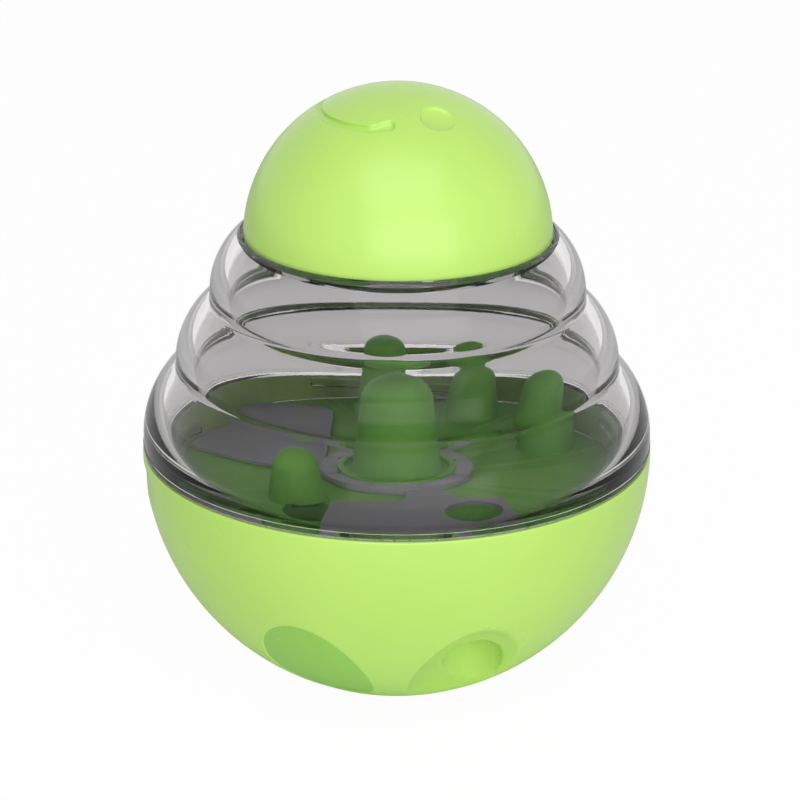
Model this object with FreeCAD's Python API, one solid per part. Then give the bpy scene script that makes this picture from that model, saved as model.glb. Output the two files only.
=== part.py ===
import FreeCAD, Part
import math
import os

# Treat-dispensing tumbler ball, in millimetres. +Z is up, the origin is the centre of the foot, and
# the outlets face -Y. Heights that end in _above_rim are measured from the plane where the clear
# shell meets the base, which is also the plane of the ball's centre.

# Base shell
ball_radius = 57.5
foot_radius = 9.0
base_wall = 2.2
rim_wall = 2.9
tray_ledge_width = 2.4
tray_ledge_height = 1.6
thumb_notch_azimuth = 192.0
thumb_notch_width = 20.0
thumb_notch_height = 8.0
thumb_notch_depth = 1.3
thumb_notch_below_rim = 6.0

# Outlets: an oval dish in the ball's skin, with an upright throat that opens into it
outlet_half_angle = 23.4
outlet_polar = 46.0
dish_half_width = 11.8
dish_half_length = 18.2
dish_depth = 5.6
dish_centre_rise = 1.2
dish_wall = 2.0
chute_inset = 5.0
chute_side_offset = 4.0
chute_bore_radius = 6.6
chute_wall = 1.4
chute_flange_width = 1.4
chute_flange_height = 1.6
throat_wall = 1.6
throat_seat_depth = 3.0
throat_top_below_rim = 22.0

# Outlet plug
plug_face_inset = 0.25
plug_stem_radius = 6.2
plug_stem_rise = 8.0
plug_ring_section = 0.9

# Counterweight and its cover, with heights from the bottom of the bowl's hollow
weight_throat_gap = 0.5
weight_top_rise = 17.0
weight_edge_radius = 1.0
weight_pad_thickness = 1.5
weight_pad_inset = 1.0
weight_cover_wall = 1.6
weight_flange_width = 4.7
weight_flange_rise = 9.3
weight_screw_count = 3
weight_screw_inset = 2.4
weight_boss_radius = 2.4

# Maze tray
tray_floor_below_rim = 8.0
tray_floor_thickness = 1.8
tray_key_count = 4
tray_key_width = 4.0
tray_key_depth = 1.4
hub_boss_radius = 9.0
hub_boss_height = 6.0
small_post_radius = 7.0
small_post_taper = 1.8
post_wall = 1.6
front_post = {"from_edge": 23.0, "azimuth": 226.4, "height": 15.2}
right_post = {"from_edge": 13.8, "azimuth": 31.5, "height": 18.7}
middle_post = {"from_edge": 15.0, "azimuth": 64.0, "height": 17.6}
rear_post = {"from_edge": 15.0, "azimuth": 96.4, "height": 18.7}
small_posts = (front_post, right_post, middle_post, rear_post)

# Dial: a banded plate that turns on the tray, with a post to turn it by
dial_thickness = 1.6
wing_end_gap = 1.1
front_wing_azimuth = -84.0
front_wing_start = 24.3
front_wing_right = 21.3
front_wing_left = 16.3
front_wing_splay = 13.0
wing_bar_azimuth = -69.5
wing_bar_sweep = 25.8
wing_bar_reach = 27.5
rear_wing_side = 16.3
rear_wing_back = 37.0
rear_wing_front = 3.4
rear_wing_slant = 19.0
rear_wing_corner_radius = 5.0
hub_ring_radius = 17.4
hub_ring_rise = 1.0
hub_bore_radius = 13.5
detent_notch_count = 8
detent_notch_width = 1.2
detent_notch_depth = 0.8
stop_pin_radius = 1.6
stop_circle_radius = 30.0
stop_azimuth = 135.0
dial_turn = 25.0
knob_post_radius = 10.0
knob_post_height = 25.2
knob_post_taper = 1.7
knob_dish_height = 2.4
knob_dish_lip = 1.6
knob_stem_radius = 5.0
spring_thickness = 0.5
spring_rise = 1.1
spring_radius = 8.2
washer_radius = 8.4
washer_thickness = 1.0

# Clear shell: three stacked bulges, a threaded skirt below and a threaded neck above
shell_wall = 2.0
bulge_wall = 4.0
skirt_blend_angle = 30.0
flange_inset = 0.1
flange_height = 1.1
low_bulge_inset = 0.2
low_bulge_arc = 20.8
low_bulge_above_rim = 3.4
middle_bulge_inset = 7.7
middle_bulge_arc = 17.6
middle_bulge_above_rim = 20.4
top_bulge_inset = 15.5
top_bulge_arc = 17.3
top_bulge_above_rim = 36.7
valley_fillet = 0.8
skirt_depth = 7.5
shell_ledge_above_rim = 48.7
neck_inset = 4.8
neck_height = 10.2

# Head
head_inset = 23.1
head_wall = 2.0
head_rim_rise = 0.6
collar_wall = 1.5
collar_height = 7.4
liner_thickness = 1.4
smile_polar = 31.0
smile_half_sweep = 85.0
smile_width = 1.6
smile_depth = 0.9
smile_end_radius = 1.3
eye_azimuth = 54.8
eye_polar = 26.0
eye_radius = 3.8
eye_depth = 1.2

# Screw joints
rim_thread_lead = 24.0
rim_thread_starts = 4
rim_thread_sweep = 50.0
neck_thread_lead = 18.0
neck_thread_starts = 3
neck_thread_sweep = 60.0
thread_ridge_height = 1.0
thread_ridge_thickness = 1.5
thread_flank_slope = 0.3
thread_sections = 7

# Seals and screws
rim_seal_thickness = 0.6
rim_seal_width = 1.9
neck_seal_thickness = 0.9
neck_seal_width = 1.5
screw_shank_radius = 1.25
screw_head_radius = 2.2
screw_head_height = 1.6
weight_screw_length = 5.0
dial_screw_length = 9.0
screw_slot_width = 0.7
screw_slot_depth = 0.8

# Clearances
running_clearance = 0.06
loose_clearance = 0.3
sliding_gap = 0.15
seat_gap = 0.05
plug_clearance = 0.15
root_bite = 0.3
cut_margin = 1.0

# Derived places
base_bore_radius = ball_radius - rim_wall
head_radius = ball_radius - head_inset
neck_radius = head_radius - neck_inset
rim_z = math.sqrt(ball_radius ** 2 - foot_radius ** 2)
bowl_radius = ball_radius - base_wall
ledge_z = rim_z + shell_ledge_above_rim
neck_top_z = ledge_z + neck_height
head_rim_z = ledge_z + neck_seal_thickness + 2 * seat_gap
head_centre_z = head_rim_z - head_rim_rise
tray_top_z = rim_z - tray_floor_below_rim
tray_bottom_z = tray_top_z - tray_floor_thickness
tray_radius = base_bore_radius - 2 * loose_clearance
dial_bottom_z = tray_top_z + sliding_gap
dial_top_z = dial_bottom_z + dial_thickness
hub_bottom_z = tray_bottom_z - hub_boss_height
skirt_radius = base_bore_radius - thread_ridge_height - loose_clearance
collar_bore_radius = neck_radius + thread_ridge_height + loose_clearance
flange_bottom_z = rim_z + rim_seal_thickness + 2 * seat_gap
wing_reach = skirt_radius - shell_wall - wing_end_gap
chute_outer_radius = chute_bore_radius + chute_wall
throat_radius = chute_outer_radius + loose_clearance + throat_wall
throat_top_z = rim_z - throat_top_below_rim
chute_reach = ball_radius * math.sin(math.radians(outlet_polar)) - chute_inset
weight_flange_radius = math.hypot(chute_reach, chute_side_offset) - throat_radius - weight_throat_gap
weight_cover_radius = weight_flange_radius - weight_flange_width
weight_radius = weight_cover_radius - weight_cover_wall - loose_clearance
weight_screw_circle = weight_cover_radius + weight_screw_inset
weight_flange_z = rim_z - bowl_radius + weight_flange_rise
weight_top_z = rim_z - bowl_radius + weight_top_rise

centre = FreeCAD.Vector(0, 0, 0)
up = FreeCAD.Vector(0, 0, 1)
ball_centre = FreeCAD.Vector(0, 0, rim_z)


# Drawing helpers
def at(radius, azimuth, z):
    """Point at a radius and azimuth (degrees) from the Z axis."""
    angle = math.radians(azimuth)
    return FreeCAD.Vector(radius * math.cos(angle), radius * math.sin(angle), z)


def section_point(r, z):
    return FreeCAD.Vector(r, 0, z)


def line(start, end):
    return Part.LineSegment(section_point(*start), section_point(*end)).toShape()


def arc(start, middle, end):
    points = [section_point(*place) for place in (start, middle, end)]
    return Part.Arc(*points).toShape()


def arc_about(middle, radius, start, end):
    """Arc in the section plane about a centre, from one point to another the short way round."""
    first = math.atan2(start[1] - middle[1], start[0] - middle[0])
    last = math.atan2(end[1] - middle[1], end[0] - middle[0])
    halfway = first + math.remainder(last - first, math.tau) / 2
    point = (middle[0] + radius * math.cos(halfway), middle[1] + radius * math.sin(halfway))
    return arc(start, point, end)


def turned(edges):
    """Solid of revolution about Z from the edges of a closed section."""
    face = Part.Face(Part.Wire(edges))
    solid = face.revolve(centre, up, 360)
    return solid if solid.Volume > 0 else solid.reversed()


def turned_polygon(corners):
    closed = list(corners) + [corners[0]]
    return turned([line(a, b) for a, b in zip(closed, closed[1:])])


def ring(inner, outer, bottom, top):
    return turned_polygon([(inner, bottom), (outer, bottom), (outer, top), (inner, top)])


def cylinder(radius, bottom, top, place=centre):
    base = FreeCAD.Vector(place.x, place.y, bottom)
    return Part.makeCylinder(radius, top - bottom, base, up)


def ball(radius, middle):
    return Part.makeSphere(radius, middle, up, -90, 90, 360)


def union(shapes):
    shapes = list(shapes)
    return shapes[0].multiFuse(shapes[1:]).removeSplitter()


def sphere_height(radius, r):
    """Height of a sphere's surface above its centre at a distance r from its axis."""
    return math.sqrt(radius ** 2 - r ** 2)


def circle_meeting(first, first_radius, second, second_radius):
    """The meeting point of two circles that lies furthest from the axis."""
    dr = second[0] - first[0]
    dz = second[1] - first[1]
    gap = math.hypot(dr, dz)
    along = (gap ** 2 + first_radius ** 2 - second_radius ** 2) / (2 * gap)
    aside = math.sqrt(first_radius ** 2 - along ** 2)
    foot = (first[0] + along * dr / gap, first[1] + along * dz / gap)
    choices = [
        (foot[0] - side * aside * dz / gap, foot[1] + side * aside * dr / gap)
        for side in (-1, 1)
    ]
    return max(choices)


def towards(start, end, distance):
    gap = math.hypot(end[0] - start[0], end[1] - start[1])
    share = distance / gap
    return (start[0] + share * (end[0] - start[0]), start[1] + share * (end[1] - start[1]))


# Screw threads
def thread_ridge(radius, lead, sweep, middle_z, start_azimuth, outward):
    """One helical ridge, as a loft of its section, standing on a cylinder's wall."""
    side = 1 if outward else -1
    root = radius - side * root_bite
    crest = radius + side * thread_ridge_height
    half_root = thread_ridge_thickness / 2
    half_crest = half_root - thread_flank_slope
    sections = []
    for step in range(thread_sections):
        turn = sweep * (step / (thread_sections - 1) - 0.5)
        z = middle_z + lead * turn / 360
        corners = [
            at(root, start_azimuth + turn, z - half_root),
            at(crest, start_azimuth + turn, z - half_crest),
            at(crest, start_azimuth + turn, z + half_crest),
            at(root, start_azimuth + turn, z + half_root),
        ]
        sections.append(Part.makePolygon(corners + corners[:1]))
    return Part.makeLoft(sections, True, False)


def thread_ridges(radius, lead, sweep, starts, middle_z, outward):
    return [
        thread_ridge(radius, lead, sweep, middle_z, 360 * start / starts, outward)
        for start in range(starts)
    ]


# Outlet geometry, shared by the base shell, the chutes, the plug and the dial's window
def outlet_axes(side):
    """Outward, sideways and upward directions at an outlet's middle; side is -1 left, 1 right."""
    azimuth = math.radians(-90 + side * outlet_half_angle)
    polar = math.radians(outlet_polar)
    outward = FreeCAD.Vector(
        math.sin(polar) * math.cos(azimuth),
        math.sin(polar) * math.sin(azimuth),
        -math.cos(polar),
    )
    sideways = FreeCAD.Vector(-math.sin(azimuth), math.cos(azimuth), 0)
    return outward, sideways, outward.cross(sideways)


def dish(side, offset):
    """Ellipsoid that cuts an outlet's oval dish, grown by an offset."""
    outward, sideways, upward = outlet_axes(side)
    rise = ball_radius + dish_centre_rise
    depth = dish_depth + dish_centre_rise

    def reach(half):
        drop = (sphere_height(ball_radius, half) - rise) / depth
        return half / math.sqrt(1 - drop ** 2)

    reaches = (reach(dish_half_width), reach(dish_half_length), depth)
    matrix = FreeCAD.Matrix()
    matrix.scale(*(size + offset for size in reaches))
    shape = ball(1, centre).transformGeometry(matrix)
    turn = FreeCAD.Rotation(sideways, upward, outward, "ZXY")
    return shape.transformed(FreeCAD.Placement(ball_centre + outward * rise, turn).toMatrix())


def chute_place(side):
    """Where a chute's upright axis crosses the floor."""
    azimuth = -90 + side * outlet_half_angle
    return at(chute_reach, azimuth, 0) + at(side * chute_side_offset, azimuth + 90, 0)


def chute_hole(side, bottom, top, clearance=0.0):
    return cylinder(chute_bore_radius + clearance, bottom, top, chute_place(side))


def weight_screw_places():
    step = 360 / weight_screw_count
    return [at(weight_screw_circle, 90 + index * step, 0) for index in range(weight_screw_count)]


# Pieces
def make_base_shell():
    """Bowl whose keys, bosses, throats and ridges are left standing in its hollow."""
    middle = (0, rim_z)
    body = turned([
        line((0, 0), (foot_radius, 0)),
        arc_about(middle, ball_radius, (foot_radius, 0), (ball_radius, rim_z)),
        line((ball_radius, rim_z), (0, rim_z)),
        line((0, rim_z), (0, 0)),
    ])
    room_bottom = (0, rim_z - bowl_radius)
    room_top = rim_z + cut_margin
    ledge_inner = tray_radius - tray_ledge_width
    ledge_bottom = tray_bottom_z - tray_ledge_height
    ledge_root = bowl_point(ledge_bottom - tray_ledge_width)
    ledge_edge = bowl_point(tray_bottom_z)
    bore_foot = (base_bore_radius, rim_z - sphere_height(bowl_radius, base_bore_radius))
    room = turned([
        arc_about(middle, bowl_radius, room_bottom, ledge_root),
        line(ledge_root, (ledge_inner, ledge_bottom)),
        line((ledge_inner, ledge_bottom), (ledge_inner, tray_bottom_z)),
        line((ledge_inner, tray_bottom_z), ledge_edge),
        arc_about(middle, bowl_radius, ledge_edge, bore_foot),
        line(bore_foot, (base_bore_radius, room_top)),
        line((base_bore_radius, room_top), (0, room_top)),
        line((0, room_top), room_bottom),
    ])
    standing = tray_keys()
    standing += [
        cylinder(weight_boss_radius, 0, weight_flange_z, place) for place in weight_screw_places()
    ]
    for side in (-1, 1):
        standing.append(dish(side, dish_wall))
        standing.append(cylinder(throat_radius, 0, throat_top_z, chute_place(side)))
    standing += thread_ridges(base_bore_radius, rim_thread_lead, rim_thread_sweep,
                              rim_thread_starts, rim_z - rim_ridge_drop(), False)
    cuts = [thumb_scoop(thumb_notch_azimuth + turn) for turn in (0, 180)]
    for side in (-1, 1):
        cuts.append(dish(side, 0))
        cuts.append(chute_hole(side, 0, throat_top_z + cut_margin))
        cuts.append(cylinder(chute_outer_radius + loose_clearance,
                             throat_top_z - throat_seat_depth, throat_top_z + cut_margin,
                             chute_place(side)))
    tip = weight_flange_z + weight_cover_wall - weight_screw_length - loose_clearance
    for place in weight_screw_places():
        cuts.append(cylinder(screw_shank_radius, tip, weight_flange_z + cut_margin, place))
    return body.cut(room.cut(standing)).cut(cuts)


def bowl_point(z):
    """Section point on the bowl's inner skin at a height."""
    return (sphere_height(bowl_radius, rim_z - z), z)


def tray_keys():
    """Blocks on the ledge that stop the tray turning."""
    keys = []
    for index in range(tray_key_count):
        key = Part.makeBox(
            3 * tray_key_depth,
            tray_key_width - 2 * loose_clearance,
            tray_floor_thickness + root_bite,
            FreeCAD.Vector(tray_radius - tray_key_depth + loose_clearance,
                           loose_clearance - tray_key_width / 2, tray_bottom_z - root_bite),
        )
        key.rotate(centre, up, 360 * (index + 0.5) / tray_key_count)
        keys.append(key)
    return keys


def thumb_scoop(azimuth):
    """Ellipsoid that cuts a thumb notch under the base's rim."""
    matrix = FreeCAD.Matrix()
    matrix.scale(thumb_notch_depth, thumb_notch_width / 2, thumb_notch_height / 2)
    scoop = ball(1, centre).transformGeometry(matrix)
    height = -thumb_notch_below_rim
    scoop.translate(FreeCAD.Vector(sphere_height(ball_radius, height), 0, rim_z + height))
    scoop.rotate(centre, up, azimuth)
    return scoop


def rim_ridge_drop():
    """Depth below the rim of the middle of the base's thread ridges."""
    rise = rim_thread_lead * rim_thread_sweep / 360
    return (rise + thread_ridge_thickness) / 2 + loose_clearance


def make_outlet_plug():
    side = -1
    place = chute_place(side)
    skin = ball(ball_radius - plug_face_inset, ball_centre)
    face = dish(side, -plug_clearance).common(skin)
    stem_top = plug_stem_bottom() + plug_stem_rise
    stem = cylinder(plug_stem_radius, plug_stem_bottom(), stem_top, place)
    body = union([face, stem.common(skin)])
    groove_z = plug_ring_z()
    groove = ring(plug_stem_radius - plug_ring_section, plug_stem_radius + cut_margin,
                  groove_z - plug_ring_section, groove_z + plug_ring_section)
    groove.translate(place)
    return body.cut(groove)


def plug_stem_bottom():
    """Height inside the plug's face from which its stem rises."""
    outward = outlet_axes(-1)[0]
    return rim_z + outward.z * (ball_radius - dish_depth / 2)


def plug_ring_z():
    return plug_stem_bottom() + plug_stem_rise - 2 * plug_ring_section


def make_plug_ring():
    section = (chute_bore_radius - plug_stem_radius + plug_ring_section - seat_gap) / 2
    middle = chute_bore_radius - section
    place = chute_place(-1)
    return Part.makeTorus(middle, section, FreeCAD.Vector(place.x, place.y, plug_ring_z()), up)


def make_chute(side):
    place = chute_place(side)
    bottom = throat_top_z - throat_seat_depth + seat_gap
    top = tray_bottom_z - seat_gap
    wall = cylinder(chute_outer_radius, bottom, top, place)
    flange = cylinder(chute_outer_radius + chute_flange_width, top - chute_flange_height, top,
                      place)
    tube = union([wall, flange]).cut(chute_hole(side, bottom - cut_margin, top + cut_margin))
    room = ball(bowl_radius - seat_gap, ball_centre)
    return tube.common(room)


def make_weight_pad():
    outer = bowl_radius - seat_gap
    inner = outer - weight_pad_thickness
    return spherical_disc(outer, inner)


def spherical_disc(outer, inner):
    """Disc of even thickness that lies in the bottom of the bowl."""
    reach = weight_radius - weight_pad_inset
    edge = [(reach, rim_z - sphere_height(radius, reach)) for radius in (outer, inner)]
    bottoms = [(0, rim_z - radius) for radius in (outer, inner)]
    half = reach / 2
    middles = [(half, rim_z - sphere_height(radius, half)) for radius in (outer, inner)]
    return turned([
        line(bottoms[1], bottoms[0]),
        arc(bottoms[0], middles[0], edge[0]),
        line(edge[0], edge[1]),
        arc(edge[1], middles[1], bottoms[1]),
    ])


def make_counterweight():
    radius = bowl_radius - weight_pad_thickness - 2 * seat_gap
    body = cylinder(weight_radius, rim_z - radius, weight_top_z)
    edges = [edge for edge in body.Edges if edge.BoundBox.ZMin > weight_top_z - seat_gap]
    rounded = body.makeFillet(weight_edge_radius, edges[:1])
    return rounded.common(ball(radius, ball_centre))


def make_weight_cover():
    inner = weight_radius + loose_clearance
    roof = weight_top_z + loose_clearance
    bottom = weight_flange_z
    cover = turned_polygon([
        (0, roof),
        (inner, roof),
        (inner, bottom),
        (weight_flange_radius, bottom),
        (weight_flange_radius, bottom + weight_cover_wall),
        (weight_cover_radius, bottom + weight_cover_wall),
        (weight_cover_radius, roof + weight_cover_wall),
        (0, roof + weight_cover_wall),
    ])
    holes = [
        cylinder(screw_shank_radius + loose_clearance, bottom - cut_margin,
                 bottom + weight_cover_wall + cut_margin, place)
        for place in weight_screw_places()
    ]
    keep_clear = [dish(side, dish_wall + loose_clearance) for side in (-1, 1)]
    return cover.cut(holes + keep_clear)


def screw(length, head_z, place, pointing):
    """Slotted pan-head screw whose head bears at head_z; pointing is 1 up or -1 down."""
    shank = Part.makeCylinder(screw_shank_radius - seat_gap, length,
                              FreeCAD.Vector(0, 0, 0), up)
    head = Part.makeCylinder(screw_head_radius, screw_head_height,
                             FreeCAD.Vector(0, 0, -screw_head_height), up)
    rim = [edge for edge in head.Edges if abs(edge.BoundBox.ZMax + screw_head_height) < seat_gap]
    head = head.makeFillet(screw_head_height / 2, rim[:1])
    slot = Part.makeBox(2 * screw_head_radius, screw_slot_width, screw_slot_depth,
                        FreeCAD.Vector(-screw_head_radius, -screw_slot_width / 2,
                                       -screw_head_height))
    shape = union([shank, head]).cut(slot)
    if pointing < 0:
        shape.rotate(centre, FreeCAD.Vector(1, 0, 0), 180)
    shape.translate(FreeCAD.Vector(place.x, place.y, head_z))
    return shape


def make_weight_screws():
    bearing = weight_flange_z + weight_cover_wall + seat_gap
    return Part.makeCompound([
        screw(weight_screw_length, bearing, place, -1) for place in weight_screw_places()
    ])


def bullet(radius, height, taper, bottom, place):
    """Post with a tapering wall and a domed top."""
    shoulder = height - radius + taper
    dome = radius - taper
    crown = bottom + shoulder + dome
    half = math.sqrt(0.5)
    post = turned([
        line((0, crown), (0, bottom)),
        line((0, bottom), (radius, bottom)),
        line((radius, bottom), (dome, bottom + shoulder)),
        arc((dome, bottom + shoulder), (dome * half, bottom + shoulder + dome * half),
            (0, crown)),
    ])
    post.translate(place)
    return post


def post_place(post):
    return at(tray_radius - post["from_edge"], post["azimuth"], 0)


def make_maze_tray():
    floor = cylinder(tray_radius, tray_bottom_z, tray_top_z)
    boss = cylinder(hub_boss_radius, hub_bottom_z, tray_bottom_z + root_bite)
    posts = [
        bullet(small_post_radius, post["height"] + root_bite, small_post_taper,
               tray_top_z - root_bite, post_place(post))
        for post in small_posts
    ]
    tray = union([floor, boss] + posts)
    cuts = [cylinder(knob_stem_radius + running_clearance, hub_bottom_z - cut_margin,
                     tray_top_z + cut_margin)]
    for post in small_posts:
        hollow_height = tray_floor_thickness + post["height"] - post_wall
        cuts.append(bullet(small_post_radius - post_wall, hollow_height, small_post_taper,
                           tray_bottom_z, post_place(post)))
    for side in (-1, 1):
        cuts.append(chute_hole(side, tray_bottom_z - cut_margin, tray_top_z + cut_margin))
    for index in range(tray_key_count):
        notch = Part.makeBox(2 * tray_key_depth, tray_key_width,
                             tray_floor_thickness + 2 * cut_margin,
                             FreeCAD.Vector(tray_radius - tray_key_depth, -tray_key_width / 2,
                                            tray_bottom_z - cut_margin))
        notch.rotate(centre, up, 360 * (index + 0.5) / tray_key_count)
        cuts.append(notch)
    cuts.append(stop_slot())
    return tray.cut(cuts)


def arc_slot(inner, outer, first, last, bottom, top):
    """Slot along a circle, round at both ends, between two azimuths."""
    sweep = last - first
    middle = (inner + outer) / 2
    track = turned_sector(inner, outer, bottom, top, first, sweep)
    half_width = (outer - inner) / 2
    ends = [cylinder(half_width, bottom, top, at(middle, azimuth, 0)) for azimuth in (first, last)]
    return union([track] + ends)


def turned_sector(inner, outer, bottom, top, first, sweep):
    corners = [(inner, bottom), (outer, bottom), (outer, top), (inner, top), (inner, bottom)]
    edges = [line(a, b) for a, b in zip(corners, corners[1:])]
    sector = Part.Face(Part.Wire(edges)).revolve(centre, up, sweep)
    sector.rotate(centre, up, first)
    return sector if sector.Volume > 0 else sector.reversed()


def stop_slot():
    """Slot in the tray floor that the dial's stop pin runs in."""
    half = stop_pin_radius + loose_clearance
    return arc_slot(stop_circle_radius - half, stop_circle_radius + half,
                    stop_azimuth, stop_azimuth + dial_turn,
                    tray_bottom_z - cut_margin, tray_top_z + cut_margin)


def wing(corners, azimuth):
    """Flat wing of the dial; it ends at a circle that runs inside the skirt."""
    points = [FreeCAD.Vector(along, aside, dial_bottom_z) for along, aside in corners]
    slab = Part.Face(Part.makePolygon(points + points[:1])).extrude(up * dial_thickness)
    slab.rotate(centre, up, azimuth)
    return slab.common(cylinder(wing_reach, dial_bottom_z, dial_top_z))


def front_wing():
    """Wing over the outlets, splayed outwards, with the bar that joins it to the hub."""
    far = front_wing_start + wing_reach
    spread = wing_reach * math.tan(math.radians(front_wing_splay))
    blade = wing([(front_wing_start, front_wing_right), (far, front_wing_right + spread),
                  (far, -front_wing_left - spread), (front_wing_start, -front_wing_left)],
                 front_wing_azimuth)
    bar = turned_sector(hub_bore_radius, wing_bar_reach, dial_bottom_z, dial_top_z,
                        wing_bar_azimuth - wing_bar_sweep / 2, wing_bar_sweep)
    return [blade, bar]


def rear_wing():
    """Wing that covers the floor behind and to the left of the hub."""
    far = rear_wing_side + wing_reach
    drop = wing_reach * math.tan(math.radians(rear_wing_slant))
    blade = wing([(-rear_wing_side, rear_wing_back), (-far, rear_wing_back),
                  (-far, drop - rear_wing_front), (-rear_wing_side, -rear_wing_front)], 0)
    corner = [
        edge for edge in blade.Edges
        if edge.BoundBox.ZLength > seat_gap and edge.BoundBox.XLength < seat_gap
        and abs(edge.CenterOfMass.x + rear_wing_side) < seat_gap
        and abs(edge.CenterOfMass.y - rear_wing_back) < seat_gap
    ]
    return blade.makeFillet(rear_wing_corner_radius, corner)


def make_dial_plate():
    hub = cylinder(hub_ring_radius, dial_bottom_z, dial_top_z + hub_ring_rise)
    pin = cylinder(stop_pin_radius, tray_bottom_z, dial_bottom_z + root_bite,
                   at(stop_circle_radius, stop_azimuth, 0))
    plate = union([hub, rear_wing(), pin] + front_wing())
    cuts = [cylinder(hub_bore_radius, dial_bottom_z + knob_seat_thickness(),
                     dial_top_z + hub_ring_rise + cut_margin)]
    cuts.append(cylinder(knob_stem_radius + seat_gap, dial_bottom_z - cut_margin, dial_top_z))
    cuts.append(chute_hole(1, dial_bottom_z - cut_margin, dial_top_z + cut_margin))
    for index in range(detent_notch_count):
        notch = Part.makeBox(2 * detent_notch_depth, detent_notch_width, hub_ring_rise,
                             FreeCAD.Vector(hub_bore_radius - detent_notch_depth,
                                            -detent_notch_width / 2, dial_top_z))
        notch.rotate(centre, up, 360 * (index + 0.5) / detent_notch_count)
        cuts.append(notch)
    return plate.cut(cuts)


def knob_seat_thickness():
    """Thickness of the plate's web under the knob's dish."""
    return dial_thickness / 2


def make_dial_knob():
    seat = dial_bottom_z + knob_seat_thickness() + seat_gap
    dish_radius = hub_bore_radius - running_clearance
    dish_top = seat + knob_dish_height
    dish_body = cylinder(dish_radius, seat, dish_top)
    hollow = ring(knob_post_radius, dish_radius - knob_dish_lip,
                  dish_top - knob_dish_height / 2, dish_top + cut_margin)
    post = bullet(knob_post_radius, knob_post_height, knob_post_taper, seat, centre)
    stem_bottom = hub_bottom_z - seat_gap
    stem = cylinder(knob_stem_radius, stem_bottom, seat + root_bite)
    knob = union([dish_body.cut(hollow), post, stem])
    pilot = cylinder(screw_shank_radius, stem_bottom - cut_margin,
                     dial_screw_head_z() + dial_screw_length + loose_clearance)
    return knob.cut(pilot)


def dial_screw_head_z():
    return hub_bottom_z - spring_rise - washer_thickness - 3 * seat_gap


def make_click_spring():
    """Dished spring washer under the tray's hub, which holds the dial down."""
    top = hub_bottom_z - seat_gap
    inner = knob_stem_radius + loose_clearance
    return turned_polygon([
        (inner, top - spring_thickness),
        (spring_radius, top - spring_rise),
        (spring_radius, top - spring_rise + spring_thickness),
        (inner, top),
    ])


def make_dial_washer():
    top = hub_bottom_z - spring_rise - 2 * seat_gap
    return ring(screw_shank_radius + loose_clearance, washer_radius, top - washer_thickness, top)


def make_dial_screw():
    return screw(dial_screw_length, dial_screw_head_z(), centre, 1)


def make_rim_seal():
    inner = base_bore_radius + loose_clearance
    bottom = rim_z + seat_gap
    return ring(inner, inner + rim_seal_width, bottom, bottom + rim_seal_thickness)


def bulges(offset):
    """Centres and radii of the clear shell's bulge arcs, drawn in by an offset, lowest first."""
    sizes = (
        (low_bulge_inset, low_bulge_arc, low_bulge_above_rim),
        (middle_bulge_inset, middle_bulge_arc, middle_bulge_above_rim),
        (top_bulge_inset, top_bulge_arc, top_bulge_above_rim),
    )
    return [((ball_radius - inset - arc_radius, rim_z + height), arc_radius - offset)
            for inset, arc_radius, height in sizes]


def bulge_line(offset, start_z, end_z=None, end_r=None):
    """Edges up the bulged wall, with the valleys filleted; returns first point, edges, last."""
    arcs = bulges(offset)
    fillet = valley_fillet + offset
    (middle, radius) = arcs[0]
    here = (middle[0] + math.sqrt(radius ** 2 - (start_z - middle[1]) ** 2), start_z)
    first = here
    edges = []
    for (low, low_radius), (high, high_radius) in zip(arcs, arcs[1:]):
        hollow = circle_meeting(low, low_radius + fillet, high, high_radius + fillet)
        leave = towards(low, hollow, low_radius)
        land = towards(high, hollow, high_radius)
        edges.append(arc_about(low, low_radius, here, leave))
        edges.append(arc_about(hollow, fillet, leave, land))
        here = land
    (middle, radius) = arcs[-1]
    if end_z is None:
        last = (end_r, middle[1] + math.sqrt(radius ** 2 - (end_r - middle[0]) ** 2))
    else:
        last = (middle[0] + math.sqrt(radius ** 2 - (end_z - middle[1]) ** 2), end_z)
    edges.append(arc_about(middle, radius, here, last))
    return first, edges, last


def skirt_blend(root):
    """Circle from the skirt's bore that runs smoothly into the low bulge's inner arc."""
    middle, radius = bulges(bulge_wall)[0]
    angle = math.radians(skirt_blend_angle)
    across = (math.cos(angle), math.sin(angle))
    reach = (root[0] - middle[0], root[1] - middle[1])
    along = reach[0] * across[0] + reach[1] * across[1]
    shift = (radius ** 2 - reach[0] ** 2 - reach[1] ** 2) / (2 * (radius - along))
    meeting_z = middle[1] + radius * across[1]
    return (middle[0] + shift * across[0], middle[1] + shift * across[1]), radius - shift, meeting_z


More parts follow.
